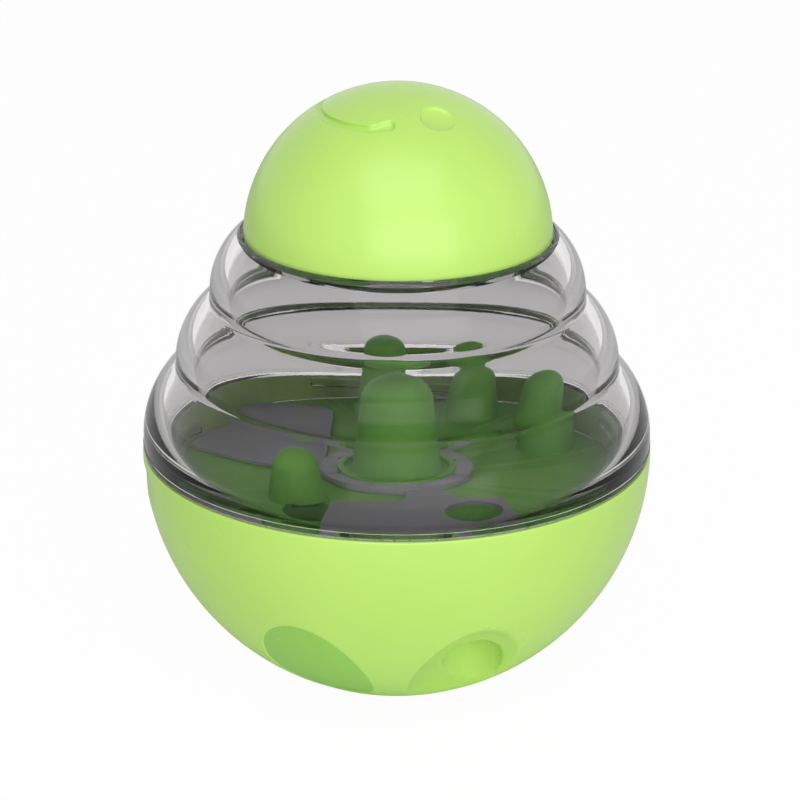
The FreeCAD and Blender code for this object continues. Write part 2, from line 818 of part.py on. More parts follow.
def make_clear_shell():
    skirt_bottom = rim_z - skirt_depth
    flange_radius = ball_radius - flange_inset
    flange_top = flange_bottom_z + flange_height
    lip_radius = head_radius + 2 * loose_clearance
    inner_skirt = skirt_radius - shell_wall
    neck_bore = neck_radius - shell_wall
    first, outside, lip = bulge_line(0, flange_top, end_r=lip_radius)
    skirt_top = (inner_skirt, flange_bottom_z)
    blend_middle, blend_radius, blend_z = skirt_blend(skirt_top)
    inner_first, inside, under = bulge_line(bulge_wall, blend_z, end_z=ledge_z - shell_wall)
    edges = [
        line((inner_skirt, skirt_bottom), (skirt_radius, skirt_bottom)),
        line((skirt_radius, skirt_bottom), (skirt_radius, flange_bottom_z)),
        line((skirt_radius, flange_bottom_z), (flange_radius, flange_bottom_z)),
        line((flange_radius, flange_bottom_z), (flange_radius, flange_top)),
        line((flange_radius, flange_top), first),
    ]
    edges += outside
    edges += [
        line(lip, (lip_radius, ledge_z)),
        line((lip_radius, ledge_z), (neck_radius, ledge_z)),
        line((neck_radius, ledge_z), (neck_radius, neck_top_z)),
        line((neck_radius, neck_top_z), (neck_bore, neck_top_z)),
        line((neck_bore, neck_top_z), (neck_bore, ledge_z - shell_wall)),
        line((neck_bore, ledge_z - shell_wall), under),
    ]
    edges += inside
    edges += [
        arc_about(blend_middle, blend_radius, skirt_top, inner_first),
        line(skirt_top, (inner_skirt, skirt_bottom)),
    ]
    shell = turned(Part.__sortEdges__(edges))
    pitch = thread_ridge_thickness + sliding_gap
    ridges = thread_ridges(skirt_radius, rim_thread_lead, rim_thread_sweep, rim_thread_starts,
                           rim_z - rim_ridge_drop() - pitch, True)
    ridges += thread_ridges(neck_radius, neck_thread_lead, neck_thread_sweep,
                            neck_thread_starts, neck_ridge_z(), True)
    return union([shell] + ridges)


def neck_ridge_z():
    rise = neck_thread_lead * neck_thread_sweep / 360
    return neck_top_z - (rise + thread_ridge_thickness) / 2 - loose_clearance


def make_neck_seal():
    inner = head_radius - head_wall
    bottom = ledge_z + seat_gap
    return ring(inner, inner + neck_seal_width, bottom, bottom + neck_seal_thickness)


def head_direction(polar, azimuth):
    """Unit vector from the head's centre."""
    tilt = math.radians(polar)
    return FreeCAD.Vector(math.sin(tilt) * math.cos(math.radians(azimuth)),
                          math.sin(tilt) * math.sin(math.radians(azimuth)), math.cos(tilt))


def dimple(radius, depth, polar, azimuth):
    """Ball that leaves a round dimple of the given radius and depth in the head."""
    sagitta = head_radius - sphere_height(head_radius, radius)
    drop = depth - sagitta
    tool = (radius ** 2 + drop ** 2) / (2 * drop)
    middle = head_direction(polar, azimuth) * (head_radius - depth + tool)
    return ball(tool, middle + FreeCAD.Vector(0, 0, head_centre_z))


def make_head_cap():
    inner = head_radius - head_wall
    outer_rim = (sphere_height(head_radius, head_rim_rise), head_rim_z)
    inner_rim = (sphere_height(inner, head_rim_rise), head_rim_z)
    half = math.sqrt(0.5)
    dome = turned([
        line(inner_rim, outer_rim),
        arc(outer_rim, (head_radius * half, head_centre_z + head_radius * half),
            (0, head_centre_z + head_radius)),
        line((0, head_centre_z + head_radius), (0, head_centre_z + inner)),
        arc((0, head_centre_z + inner), (inner * half, head_centre_z + inner * half), inner_rim),
    ])
    mouth_line = head_direction(smile_polar, 0) * head_radius
    groove_deep = head_radius - smile_depth
    reach = cut_margin + smile_depth
    groove = smile_groove(mouth_line, groove_deep, reach)
    ends = [dimple(smile_end_radius, smile_depth, smile_polar, 180 + side * smile_half_sweep)
            for side in (-1, 1)]
    eyes = [dimple(eye_radius, eye_depth, eye_polar, side * eye_azimuth) for side in (-1, 1)]
    return dome.cut([groove] + ends + eyes)


def smile_groove(mouth_line, deep, reach):
    """Round-bottomed groove swept part way round the head's axis."""
    tilt = math.radians(smile_polar)
    half = smile_width / 2
    outward = (math.sin(tilt), math.cos(tilt))
    aside = (math.cos(tilt), -math.sin(tilt))

    def corner(distance, offset):
        return (distance * outward[0] + offset * aside[0],
                head_centre_z + distance * outward[1] + offset * aside[1])

    top = mouth_line.Length + reach
    round_start = deep + half / 2
    edges = [
        line(corner(top, -half), corner(round_start, -half)),
        arc(corner(round_start, -half), corner(deep, 0), corner(round_start, half)),
        line(corner(round_start, half), corner(top, half)),
        line(corner(top, half), corner(top, -half)),
    ]
    sweep = 2 * smile_half_sweep
    groove = Part.Face(Part.Wire(edges)).revolve(centre, up, sweep)
    groove.rotate(centre, up, 180 - smile_half_sweep)
    return groove if groove.Volume > 0 else groove.reversed()


def make_head_collar():
    outer = head_radius - head_wall - seat_gap
    bottom = head_rim_z + seat_gap
    collar_outer = min(collar_bore_radius + collar_wall, outer)
    body = ring(collar_bore_radius, collar_outer, bottom, bottom + collar_height)
    pitch = thread_ridge_thickness + sliding_gap
    ridges = thread_ridges(collar_bore_radius, neck_thread_lead, neck_thread_sweep,
                           neck_thread_starts, neck_ridge_z() - pitch, False)
    shell = union([body] + ridges)
    return shell.common(ball(outer, FreeCAD.Vector(0, 0, head_centre_z)))


def make_head_liner():
    bottom = neck_top_z + loose_clearance
    top = bottom + liner_thickness
    inner = head_radius - head_wall - seat_gap
    radius = sphere_height(inner, top - head_centre_z) - seat_gap
    return cylinder(radius, bottom, top)


pieces = {
    "base_shell": make_base_shell,
    "outlet_plug": make_outlet_plug,
    "plug_ring": make_plug_ring,
    "left_chute": lambda: make_chute(-1),
    "right_chute": lambda: make_chute(1),
    "weight_pad": make_weight_pad,
    "counterweight": make_counterweight,
    "weight_cover": make_weight_cover,
    "weight_screws": make_weight_screws,
    "maze_tray": make_maze_tray,
    "dial_plate": make_dial_plate,
    "dial_knob": make_dial_knob,
    "click_spring": make_click_spring,
    "dial_washer": make_dial_washer,
    "dial_screw": make_dial_screw,
    "rim_seal": make_rim_seal,
    "clear_shell": make_clear_shell,
    "neck_seal": make_neck_seal,
    "head_cap": make_head_cap,
    "head_collar": make_head_collar,
    "head_liner": make_head_liner,
}

os.makedirs("parts", exist_ok=True)
for name, make in pieces.items():
    shape = make()
    shape.exportStep(os.path.join("parts", name + ".step"))
    print(name, "solids", len(shape.Solids), "valid", shape.isValid(), "volume", round(shape.Volume))
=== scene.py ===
import logging
import math
from collections.abc import Sequence
from dataclasses import dataclass
from enum import Enum

import bmesh
import bpy
from mathutils import Matrix, Vector


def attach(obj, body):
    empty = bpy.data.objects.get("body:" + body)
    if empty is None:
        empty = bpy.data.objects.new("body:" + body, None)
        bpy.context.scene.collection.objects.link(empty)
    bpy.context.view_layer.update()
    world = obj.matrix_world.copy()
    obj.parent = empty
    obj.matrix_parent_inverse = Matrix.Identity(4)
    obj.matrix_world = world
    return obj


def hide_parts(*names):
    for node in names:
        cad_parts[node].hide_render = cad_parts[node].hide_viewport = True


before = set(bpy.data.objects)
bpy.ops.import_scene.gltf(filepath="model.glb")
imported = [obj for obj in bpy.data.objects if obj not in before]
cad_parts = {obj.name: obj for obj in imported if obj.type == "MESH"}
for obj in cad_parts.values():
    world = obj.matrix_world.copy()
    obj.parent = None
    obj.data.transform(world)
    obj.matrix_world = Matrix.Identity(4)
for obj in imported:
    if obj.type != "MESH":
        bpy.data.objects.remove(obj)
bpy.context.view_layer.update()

# Treat ball, dressed. Sizes are in millimetres and become metres where a mesh is made. +Z is up,
# the origin is the centre of the foot, and the outlets face -Y.

MM = 0.001
# Vertices nearer than this are one.
WELD = 0.003
# A cutting solid reaches this far past what it cuts.
OVERCUT = 1.0
# An added solid reaches this far into what it joins.
OVERLAP = 0.3
# Vertices within this depth of a skin belong to it.
SKIN_DEPTH = 0.05
# A vertex isn't moved by less than this.
LEAST_MOVE = 1e-6
# Points on a post's dome are this far apart.
DOME_SPACING = 0.5
log = logging.getLogger("treat_ball")

Point = tuple[float, float]
Triple = tuple[float, float, float]
Colour = Triple
Mesh = bmesh.types.BMesh
Piece = bpy.types.Object
Socket = bpy.types.NodeSocket


class Side(Enum):
    """The two outlets, seen from the front."""

    LEFT = -1
    RIGHT = 1


class Join(Enum):
    """What a boolean does with its tool."""

    ADD = "UNION"
    CUT = "DIFFERENCE"
    KEEP = "INTERSECT"


@dataclass(frozen=True)
class Ball:
    """Sizes that the sub-assemblies share, in millimetres."""

    radius: float = 57.5
    foot_radius: float = 9.0
    wall: float = 2.2
    rim_wall: float = 2.9
    head_inset: float = 23.1
    neck_inset: float = 4.8
    shell_wall: float = 2.0
    thread_ridge: float = 1.0
    ridge_thickness: float = 1.5
    loose: float = 0.3
    seat: float = 0.05
    sliding: float = 0.15
    running: float = 0.06
    tray_below_rim: float = 8.0
    tray_thickness: float = 1.8
    seal_thickness: float = 0.6
    neck_seal_thickness: float = 0.9
    ledge_above_rim: float = 48.7
    neck_height: float = 10.2
    head_wall: float = 2.0
    key_count: int = 4
    key_width: float = 4.0
    key_depth: float = 1.4
    pin_radius: float = 1.6
    pin_circle: float = 30.0
    pin_azimuth: float = 135.0
    stem_radius: float = 5.0
    hub_height: float = 6.0
    pilot_radius: float = 1.25

    @property
    def rim_z(self) -> float:
        """Height of the rim, which is also the height of the ball's centre."""
        return math.sqrt(self.radius**2 - self.foot_radius**2)

    @property
    def bore_radius(self) -> float:
        """Radius of the threaded bore in the bowl's rim."""
        return self.radius - self.rim_wall

    @property
    def bowl_radius(self) -> float:
        """Radius of the bowl's inner skin."""
        return self.radius - self.wall

    @property
    def head_radius(self) -> float:
        """Radius of the dome."""
        return self.radius - self.head_inset

    @property
    def neck_radius(self) -> float:
        """Outer radius of the clear shell's neck."""
        return self.head_radius - self.neck_inset

    @property
    def skirt_radius(self) -> float:
        """Outer radius of the clear shell's threaded skirt."""
        return self.bore_radius - self.thread_ridge - self.loose

    @property
    def tray_radius(self) -> float:
        """Radius of the tray's floor."""
        return self.bore_radius - 2 * self.loose

    @property
    def tray_top(self) -> float:
        """Height of the tray's floor."""
        return self.rim_z - self.tray_below_rim

    @property
    def tray_bottom(self) -> float:
        """Height of the underside of the tray's floor."""
        return self.tray_top - self.tray_thickness

    @property
    def flange_bottom(self) -> float:
        """Height of the underside of the clear shell's flange."""
        return self.rim_z + self.seal_thickness + 2 * self.seat

    @property
    def ledge(self) -> float:
        """Height of the clear shell's upper ledge."""
        return self.rim_z + self.ledge_above_rim

    @property
    def neck_top(self) -> float:
        """Height of the top of the neck."""
        return self.ledge + self.neck_height

    @property
    def head_rim(self) -> float:
        """Height of the dome's lower edge."""
        return self.ledge + self.neck_seal_thickness + 2 * self.seat


BALL = Ball()


# Geometry in the section plane
def sphere_height(radius: float, r: float) -> float:
    """Height of a sphere's surface above its centre at a distance r from its axis."""
    return math.sqrt(max(radius**2 - r**2, 0.0))


def polar_point(middle: Point, radius: float, degrees: float) -> Point:
    """Section point on a circle, at an angle from the +R direction."""
    angle = math.radians(degrees)
    return (middle[0] + radius * math.cos(angle), middle[1] + radius * math.sin(angle))


def arc_points(middle: Point, radius: float, start: Point, end: Point,
               spacing: float) -> list[Point]:
    """Points along an arc, from just after its start to its end, the short way round.

    Args:
        middle: Centre of the arc.
        radius: Radius of the arc.
        start: Point that the arc starts from, which isn't repeated.
        end: Last point of the arc.
        spacing: Greatest distance between two points.

    Returns:
        The points after the start.
    """
    first = math.atan2(start[1] - middle[1], start[0] - middle[0])
    last = math.atan2(end[1] - middle[1], end[0] - middle[0])
    turn = math.remainder(last - first, math.tau)
    count = max(2, math.ceil(abs(turn) * radius / spacing))
    angles = [first + turn * k / count for k in range(1, count)]
    return [(middle[0] + radius * math.cos(angle), middle[1] + radius * math.sin(angle))
            for angle in angles] + [end]


def dome_points(radius: float, shoulder: float) -> list[Point]:
    """Quarter arc that closes a post's top, from its shoulder's height to the axis."""
    start, top = (radius, shoulder), (0.0, shoulder + radius)
    return [start] + arc_points((0, shoulder), radius, start, top, DOME_SPACING)


def circle_meeting(first: Point, first_radius: float, second: Point,
                   second_radius: float) -> Point:
    """The meeting point of two circles that lies furthest from the axis.

    Args:
        first: Centre of one circle.
        first_radius: Its radius.
        second: Centre of the other.
        second_radius: Its radius.

    Returns:
        The point.
    """
    dr, dz = second[0] - first[0], second[1] - first[1]
    gap = math.hypot(dr, dz)
    along = (gap**2 + first_radius**2 - second_radius**2) / (2 * gap)
    aside = math.sqrt(first_radius**2 - along**2)
    foot = (first[0] + along * dr / gap, first[1] + along * dz / gap)
    return max((foot[0] - side * aside * dz / gap, foot[1] + side * aside * dr / gap)
               for side in (-1, 1))


def towards(start: Point, end: Point, distance: float) -> Point:
    """Point at a distance from a start, on the way to an end."""
    share = distance / math.hypot(end[0] - start[0], end[1] - start[1])
    return (start[0] + share * (end[0] - start[0]), start[1] + share * (end[1] - start[1]))


def at(radius: float, azimuth: float, z: float) -> Vector:
    """Place at a radius and azimuth in degrees from the Z axis, in millimetres."""
    angle = math.radians(azimuth)
    return Vector((radius * math.cos(angle), radius * math.sin(angle), z))


def soft_min(a: float, b: float, blend: float) -> float:
    """The lesser of two values, rounded off where they come within a blend of each other."""
    share = max(blend - abs(a - b), 0.0) / blend
    return min(a, b) - share**2 * blend / 4


def smooth_step(value: float) -> float:
    """Eases from 0 to 1 as the value goes from 0 to 1."""
    value = min(max(value, 0.0), 1.0)
    return value * value * (3 - 2 * value)


# Mesh tools
def spun(points: Sequence[Point], sectors: Sequence[tuple[float, int]], start: float = 0.0,
         closed: bool = False) -> Mesh:
    """Solid of revolution about Z.

    Args:
        points: Section points (r, z) in millimetres.
        sectors: Sweeps in degrees, each with its number of steps; they add up to a full turn.
        start: Azimuth that the first sector starts from.
        closed: Whether the last point joins the first, as in a ring.

    Returns:
        The closed mesh, with its faces outwards.
    """
    bm = bmesh.new()
    turn = Matrix.Rotation(math.radians(start), 4, "Z")
    verts = [bm.verts.new(turn @ Vector((r * MM, 0, z * MM))) for r, z in points]
    pairs = list(zip(verts, verts[1:]))
    if closed:
        pairs.append((verts[-1], verts[0]))
    chain: list = verts + [bm.edges.new(pair) for pair in pairs]
    for sweep, steps in sectors:
        result = bmesh.ops.spin(bm, geom=chain, cent=(0, 0, 0), axis=(0, 0, 1),
                                angle=math.radians(sweep), steps=steps,
                                use_merge=sweep == 360)
        chain = result["geom_last"]
    bmesh.ops.remove_doubles(bm, verts=bm.verts, dist=WELD * MM)
    bmesh.ops.recalc_face_normals(bm, faces=bm.faces)
    return bm


def soften(bm: Mesh, width: float, segments: int = 2, angle: float = 35.0) -> None:
    """Rounds every edge that is sharper than an angle.

    Args:
        bm: Mesh that is changed.
        width: Width of the rounding in millimetres.
        segments: Number of faces across the rounding.
        angle: Least angle in degrees between the faces of an edge that is rounded.
    """
    limit = math.radians(angle)
    edges = [e for e in bm.edges if len(e.link_faces) == 2 and e.calc_face_angle(0) > limit]
    bmesh.ops.bevel(bm, geom=edges, offset=width * MM, offset_type="OFFSET", segments=segments,
                    profile=0.5, affect="EDGES", clamp_overlap=True, material=-1)


def cylinder_mesh(radius: float, bottom: float, top: float, place: Vector = Vector(),
                  segments: int = 96) -> Mesh:
    """Upright closed cylinder, in millimetres.

    Args:
        radius: Its radius.
        bottom: Height of its lower end.
        top: Height of its upper end.
        place: Where its axis stands.
        segments: Number of faces round it.

    Returns:
        The mesh.
    """
    bm = bmesh.new()
    bmesh.ops.create_cone(bm, cap_ends=True, segments=segments, radius1=radius * MM,
                          radius2=radius * MM, depth=(top - bottom) * MM)
    middle = Vector((place.x, place.y, (bottom + top) / 2)) * MM
    bmesh.ops.translate(bm, verts=bm.verts, vec=middle)
    return bm


def rounded_disc(radius: float, bottom: float, top: float, steps: int, edge: float) -> Mesh:
    """Disc about Z with rounded edges, in millimetres.

    Args:
        radius: Its radius.
        bottom: Height of its underside.
        top: Height of its upper face.
        steps: Number of faces round it.
        edge: Width of its edges' rounding.

    Returns:
        The mesh.
    """
    bm = spun([(0, bottom), (radius, bottom), (radius, top), (0, top)], ((360.0, steps),))
    soften(bm, edge)
    return bm


def turned(bm: Mesh, azimuth: float) -> Mesh:
    """Turns a mesh about Z.

    Args:
        bm: Mesh that is changed.
        azimuth: Degrees that it turns.

    Returns:
        The same mesh.
    """
    bmesh.ops.rotate(bm, verts=bm.verts, cent=(0, 0, 0),
                     matrix=Matrix.Rotation(math.radians(azimuth), 3, "Z"))
    return bm


def blocks_round(low: Vector, high: Vector, count: int) -> list[Mesh]:
    """Boxes that repeat evenly about Z, the first of them half a step past +X.

    Args:
        low: Lowest corner of the box before it is turned, in millimetres.
        high: Its highest corner.
        count: Number of boxes.

    Returns:
        The meshes.
    """
    blocks = []
    for index in range(count):
        bm = bmesh.new()
        bmesh.ops.create_cube(bm, size=1.0)
        bmesh.ops.scale(bm, verts=bm.verts, vec=(high - low) * MM)
        bmesh.ops.translate(bm, verts=bm.verts, vec=(high + low) / 2 * MM)
        blocks.append(turned(bm, 360 * (index + 0.5) / count))
    return blocks


def slab_mesh(outline: Sequence[Point], bottom: float, top: float, azimuth: float = 0.0) -> Mesh:
    """Flat slab, in millimetres.

    Args:
        outline: Its outline's points in order.
        bottom: Height of its underside.
        top: Height of its upper face.
        azimuth: Degrees that it is then turned about Z.

    Returns:
        The mesh.
    """
    bm = bmesh.new()
    face = bm.faces.new([bm.verts.new(Vector((x, y, bottom)) * MM) for x, y in outline])
    raised = bmesh.ops.extrude_face_region(bm, geom=[face])["geom"]
    bmesh.ops.translate(bm, verts=[v for v in raised if isinstance(v, bmesh.types.BMVert)],
                        vec=(0, 0, (top - bottom) * MM))
    bmesh.ops.recalc_face_normals(bm, faces=bm.faces)
    return turned(bm, azimuth)


def slot_outline(inner: float, outer: float, first: float, last: float, steps: int = 24,
                 ends: int = 8) -> list[Point]:
    """Outline of a slot along a circle about Z, round at both ends.

    Args:
        inner: Radius of its inner side in millimetres.
        outer: Radius of its outer side.
        first: Azimuth in degrees that it starts from.
        last: Azimuth that it ends at.
        steps: Number of steps along each side.
        ends: Number of steps round each end.

    Returns:
        The outline's points in order.
    """
    middle, half = (inner + outer) / 2, (outer - inner) / 2
    rim = [at(outer, first + (last - first) * k / steps, 0) for k in range(steps + 1)]
    rim += [at(middle, last, 0) + at(half, last + 180 * k / ends, 0) for k in range(1, ends)]
    rim += [at(inner, last - (last - first) * k / steps, 0) for k in range(steps + 1)]
    rim += [at(middle, first, 0) + at(half, first + 180 + 180 * k / ends, 0)
            for k in range(1, ends)]
    return [(place.x, place.y) for place in rim]


def rounded_outline(corners: Sequence[Triple]) -> list[Point]:
    """Outline through corners that are each rounded by their own radius.

    Args:
        corners: Each corner's two coordinates and its radius; 0 leaves it sharp.

    Returns:
        The outline's points in order.
    """
    points: list[Point] = []
    for index, (x, y, radius) in enumerate(corners):
        here = (x, y)
        if radius <= 0:
            points.append(here)
            continue
        before = corners[index - 1][:2]
        after = corners[(index + 1) % len(corners)][:2]
        back = Vector(towards(here, before, 1.0)) - Vector(here)
        ahead = Vector(towards(here, after, 1.0)) - Vector(here)
        half = back.angle(ahead) / 2
        middle = Vector(here) + (back + ahead).normalized() * radius / math.sin(half)
        start = Vector(here) + back * radius / math.tan(half)
        end = Vector(here) + ahead * radius / math.tan(half)
        points.append(tuple(start))
        points += arc_points(tuple(middle), radius, tuple(start), tuple(end), radius / 4)
    return points


@dataclass(frozen=True)
class Thread:
    """Helical ridges that start evenly round a cylinder's wall, in millimetres and degrees."""

    lead: float
    starts: int
    sweep: float
    bite: float = 0.3
    slope: float = 0.3
    steps: int = 20

    @property
    def height(self) -> float:
        """Height that the ridges take up on the wall."""
        return self.lead * self.sweep / 360 + BALL.ridge_thickness

    def ridge(self, radius: float, middle_z: float, azimuth: float, outward: bool) -> Mesh:
        """One ridge, swept up its helix and closed at its ends.

        Args:
            radius: Radius of the wall that it stands on.
            middle_z: Height of its middle.
            azimuth: Azimuth of its middle.
            outward: Whether it stands out from the wall or into a bore.

        Returns:
            The mesh.
        """
        side = 1 if outward else -1
        half_root = BALL.ridge_thickness / 2
        crest = radius + side * BALL.thread_ridge
        root = radius - side * self.bite
        low_z = middle_z - self.lead * self.sweep / 720
        corners = ((root, -half_root), (crest, self.slope - half_root),
                   (crest, half_root - self.slope), (root, half_root))
        bm = bmesh.new()
        start = [bm.verts.new(at(r, azimuth - self.sweep / 2, low_z + dz) * MM)
                 for r, dz in corners]
        face = bm.faces.new(start)
        bmesh.ops.spin(bm, geom=[face] + list(face.edges) + start, cent=(0, 0, 0),
                       axis=(0, 0, 1), dvec=(0, 0, self.lead * self.sweep / 360 / self.steps * MM),
                       angle=math.radians(self.sweep), steps=self.steps)
        bmesh.ops.recalc_face_normals(bm, faces=bm.faces)
        return bm

    def ridges(self, radius: float, middle_z: float, outward: bool) -> list[Mesh]:
        """All the ridges round a wall."""
        return [self.ridge(radius, middle_z, 360 * start / self.starts, outward)
                for start in range(self.starts)]


RIM_THREAD = Thread(lead=24.0, starts=4, sweep=50.0)
NECK_THREAD = Thread(lead=18.0, starts=3, sweep=60.0)


def placed(name: str, data: bpy.types.ID) -> Piece:
    """Adds an object to the scene.

    Args:
        name: Its name.
        data: What it shows.

    Returns:
        The object.
    """
    thing = bpy.data.objects.new(name, data)
    bpy.context.scene.collection.objects.link(thing)
    return thing


def mesh_object(bm: Mesh, name: str) -> Piece:
    """Object that holds a finished mesh.

    Args:
        bm: The mesh, which is used up.
        name: Name of the object and of its mesh.

    Returns:
        The object.
    """
    mesh = bpy.data.meshes.new(name)
    bm.to_mesh(mesh)
    bm.free()
    return placed(name, mesh)


def each(join: Join, solids: Sequence[Mesh]) -> list[tuple[Join, Mesh]]:
    """Pairs every solid with one operation."""
    return [(join, solid) for solid in solids]


def joined(body: Mesh, tools: Sequence[tuple[Join, Mesh]]) -> Mesh:
    """Adds solids to a body or cuts them from it, in order.

    Args:
        body: Closed mesh to start from, which is used up.
        tools: Each operation with its closed mesh, which are used up too.

    Returns:
        The resulting mesh.
    """
    base = mesh_object(body, "tool")
    used = [base]
    for join, tool in tools:
        used.append(mesh_object(tool, "tool"))
        modifier = base.modifiers.new("join", "BOOLEAN")
        modifier.operation = join.value
        modifier.object = used[-1]
        modifier.solver = "MANIFOLD"
    result = bmesh.new()
    result.from_object(base, bpy.context.evaluated_depsgraph_get())
    for thing in used:
        mesh = thing.data
        bpy.data.objects.remove(thing)
        bpy.data.meshes.remove(mesh)
    return result


def finished(bm: Mesh, name: str, finish: "Finish", body: str,
             stands_for: Sequence[str], smooth_angle: float = 40.0) -> Piece:
    """Turns a mesh into a named piece of the object, dressed and riding on its body.

    Args:
        bm: Mesh of the piece, in metres and in place, which is used up.
        name: Name of the piece.
        finish: Finish that dresses it.
        body: CAD body that carries it.
        stands_for: CAD nodes that the piece replaces.
        smooth_angle: Edges sharper than this stay sharp, in degrees.

    Returns:
        The piece.
    """
    piece = mesh_object(bm, name)
    piece.data.shade_smooth()
    piece.data.set_sharp_from_angle(angle=math.radians(smooth_angle))
    piece.data.materials.append(finish.material())
    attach(piece, body)
    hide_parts(*stands_for)
    return piece


# Finishes
@dataclass(frozen=True)
class Noise:
    """Noise in object space, in waves per metre, and the band of its values that is used."""

    scale: float
    detail: float
    stretch: Triple = (1, 1, 1)
    band: Point = (0.3, 0.7)


class Nodes:
    """Adds nodes to a tree and joins them."""

    def __init__(self, tree: bpy.types.NodeTree) -> None:
        """Keeps the tree that the nodes go into."""
        self.tree = tree

    def node(self, kind: str, **settings: object) -> bpy.types.Node:
        """Adds a node.

        Args:
            kind: Type of the node.
            settings: Properties that are set on it.

        Returns:
            The node.
        """
        node = self.tree.nodes.new(kind)
        for key, value in settings.items():
            setattr(node, key, value)
        return node

    def link(self, source: Socket, target: Socket) -> None:
        """Joins two sockets."""
        self.tree.links.new(source, target)

    def ramp(self, source: Socket, band: Point, share: Point) -> Socket:
        """Maps a value from one range to another.

        Args:
            source: The value.
            band: Range that it comes from.
            share: Range that it goes to.

        Returns:
            The mapped value.
        """
        span = self.node("ShaderNodeMapRange")
        for key, value in zip(("From Min", "From Max", "To Min", "To Max"), band + share):
            span.inputs[key].default_value = value
        self.link(source, span.inputs["Value"])
        return span.outputs["Result"]


class Shader(Nodes):
    """A new material's Principled shader and the nodes that lead into it."""

    def __init__(self, name: str) -> None:
        """Starts a material that holds only a Principled shader and its output.

        Args:
            name: Name of the material.
        """
        self.data = bpy.data.materials.new(name)
        self.data.use_nodes = True
        super().__init__(self.data.node_tree)
        self.surface = self.tree.nodes["Principled BSDF"]
        self.output = self.tree.nodes["Material Output"]
        self.place = self.node("ShaderNodeTexCoord").outputs["Object"]

    def set(self, **values: float | tuple) -> None:
        """Sets constant values on the Principled shader's own sockets."""
        for key, value in values.items():
            self.surface.inputs[key.replace("_", " ")].default_value = value

    def values(self, noise: Noise) -> Socket:
        """A noise's values over the surface.

        Args:
            noise: The noise.

        Returns:
            Its values, between 0 and 1.
        """
        mapping = self.node("ShaderNodeMapping")
        mapping.inputs["Scale"].default_value = noise.stretch
        self.link(self.place, mapping.inputs["Vector"])
        texture = self.node("ShaderNodeTexNoise")
        texture.inputs["Scale"].default_value = noise.scale
        texture.inputs["Detail"].default_value = noise.detail
        self.link(mapping.outputs["Vector"], texture.inputs["Vector"])
        return texture.outputs["Fac"]

    def spread(self, noise: Noise, share: Point) -> Socket:
        """A noise whose band is spread over a range."""
        return self.ramp(self.values(noise), noise.band, share)

    def mix(self, factor: Socket, first: Colour | Socket, second: Colour) -> Socket:
        """Mixes two colours.

        Args:
            factor: Share of the second colour.
            first: Colour, or the socket that gives it.
            second: Colour.

        Returns:
            The mixed colour.
        """
        mix = self.node("ShaderNodeMix", data_type="RGBA")
        if isinstance(first, Socket):
            self.link(first, mix.inputs["A"])
        else:
            mix.inputs["A"].default_value = (*first, 1)
        mix.inputs["B"].default_value = (*second, 1)
        self.link(factor, mix.inputs["Factor"])
        return mix.outputs["Result"]

    def bump(self, reliefs: Sequence[tuple[Noise, float]]) -> None:
        """Bumps the surface by several noises.

        Args:
            reliefs: Each noise with its depth in metres.
        """
        normal = None
        for noise, depth in reliefs:
            bump = self.node("ShaderNodeBump")
            bump.inputs["Strength"].default_value = 1.0
            bump.inputs["Distance"].default_value = depth
            self.link(self.values(noise), bump.inputs["Height"])
            if normal is not None:
                self.link(normal, bump.inputs["Normal"])
            normal = bump.outputs["Normal"]
        self.link(normal, self.surface.inputs["Normal"])


@dataclass(frozen=True, kw_only=True)
class Finish:
    """A finish of one colour, with marks in its gloss and a fine relief."""

    name: str
    colour: Colour
    marks: Noise
    roughness: Point
    reliefs: tuple[tuple[Noise, float], ...]
    sockets: tuple[tuple[str, float], ...] = ()

    def material(self) -> bpy.types.Material:
        """The finish's material, made the first time it is asked for."""
        return bpy.data.materials.get(self.name) or self.build()

    def build(self) -> bpy.types.Material:
        """Makes the material.

        Returns:
            The material.
        """
        shader = Shader(self.name)
        self.paint(shader)
        shader.link(shader.spread(self.marks, self.roughness), shader.surface.inputs["Roughness"])
        shader.bump(self.reliefs)
        shader.set(**dict(self.sockets))
        return shader.data

    def paint(self, shader: Shader) -> None:
        """Colours a shader."""
        shader.set(Base_Color=(*self.colour, 1))


@dataclass(frozen=True, kw_only=True)
class PatchedFinish(Finish):
    """A finish with patches of a second colour."""

    patch_colour: Colour
    patches: Noise
    patch_share: float = 1.0

    def patched(self, shader: Shader) -> Socket:
        """The colour with its patches."""
        share = shader.spread(self.patches, (0.0, self.patch_share))
        return shader.mix(share, self.colour, self.patch_colour)

    def paint(self, shader: Shader) -> None:
        """Colours a shader."""
        shader.link(self.patched(shader), shader.surface.inputs["Base Color"])


@dataclass(frozen=True, kw_only=True)
class MouldedPlastic(PatchedFinish):
    """Coloured injection-moulded plastic with faint mottling, and a painted highlight that
    lightens its raised edges.
    """

    # Colour of the painted highlight on raised edges, and how strongly and where it shows.
    edge_highlight_colour: Colour
    edge_highlight_share: float = 0.5
    edge_highlight_band: Point = (0.56, 0.66)
    patches: Noise = Noise(scale=38.0, detail=4.0)
    marks: Noise = Noise(scale=120.0, detail=5.0)
    reliefs: tuple[tuple[Noise, float], ...] = (
        (Noise(scale=70.0, detail=1.0), 2.5e-5),
        (Noise(scale=2600.0, detail=2.0), 4e-6),
    )
    coat: float = 0.0
    gloss: float = 0.5

    def paint(self, shader: Shader) -> None:
        """Colours a shader, with a painted highlight that lightens its raised edges, and sets its
        gloss.

        Args:
            shader: The shader.
        """
        # Painted highlight: edges picked out by their pointiness are coloured lighter, whatever
        # the light.
        pointed = shader.node("ShaderNodeNewGeometry").outputs["Pointiness"]
        share = shader.ramp(pointed, self.edge_highlight_band, (0.0, self.edge_highlight_share))
        shader.link(shader.mix(share, self.patched(shader), self.edge_highlight_colour),
                    shader.surface.inputs["Base Color"])
        shader.set(IOR=1.5, Specular_IOR_Level=self.gloss, Coat_Weight=self.coat,
                   Coat_Roughness=0.08)


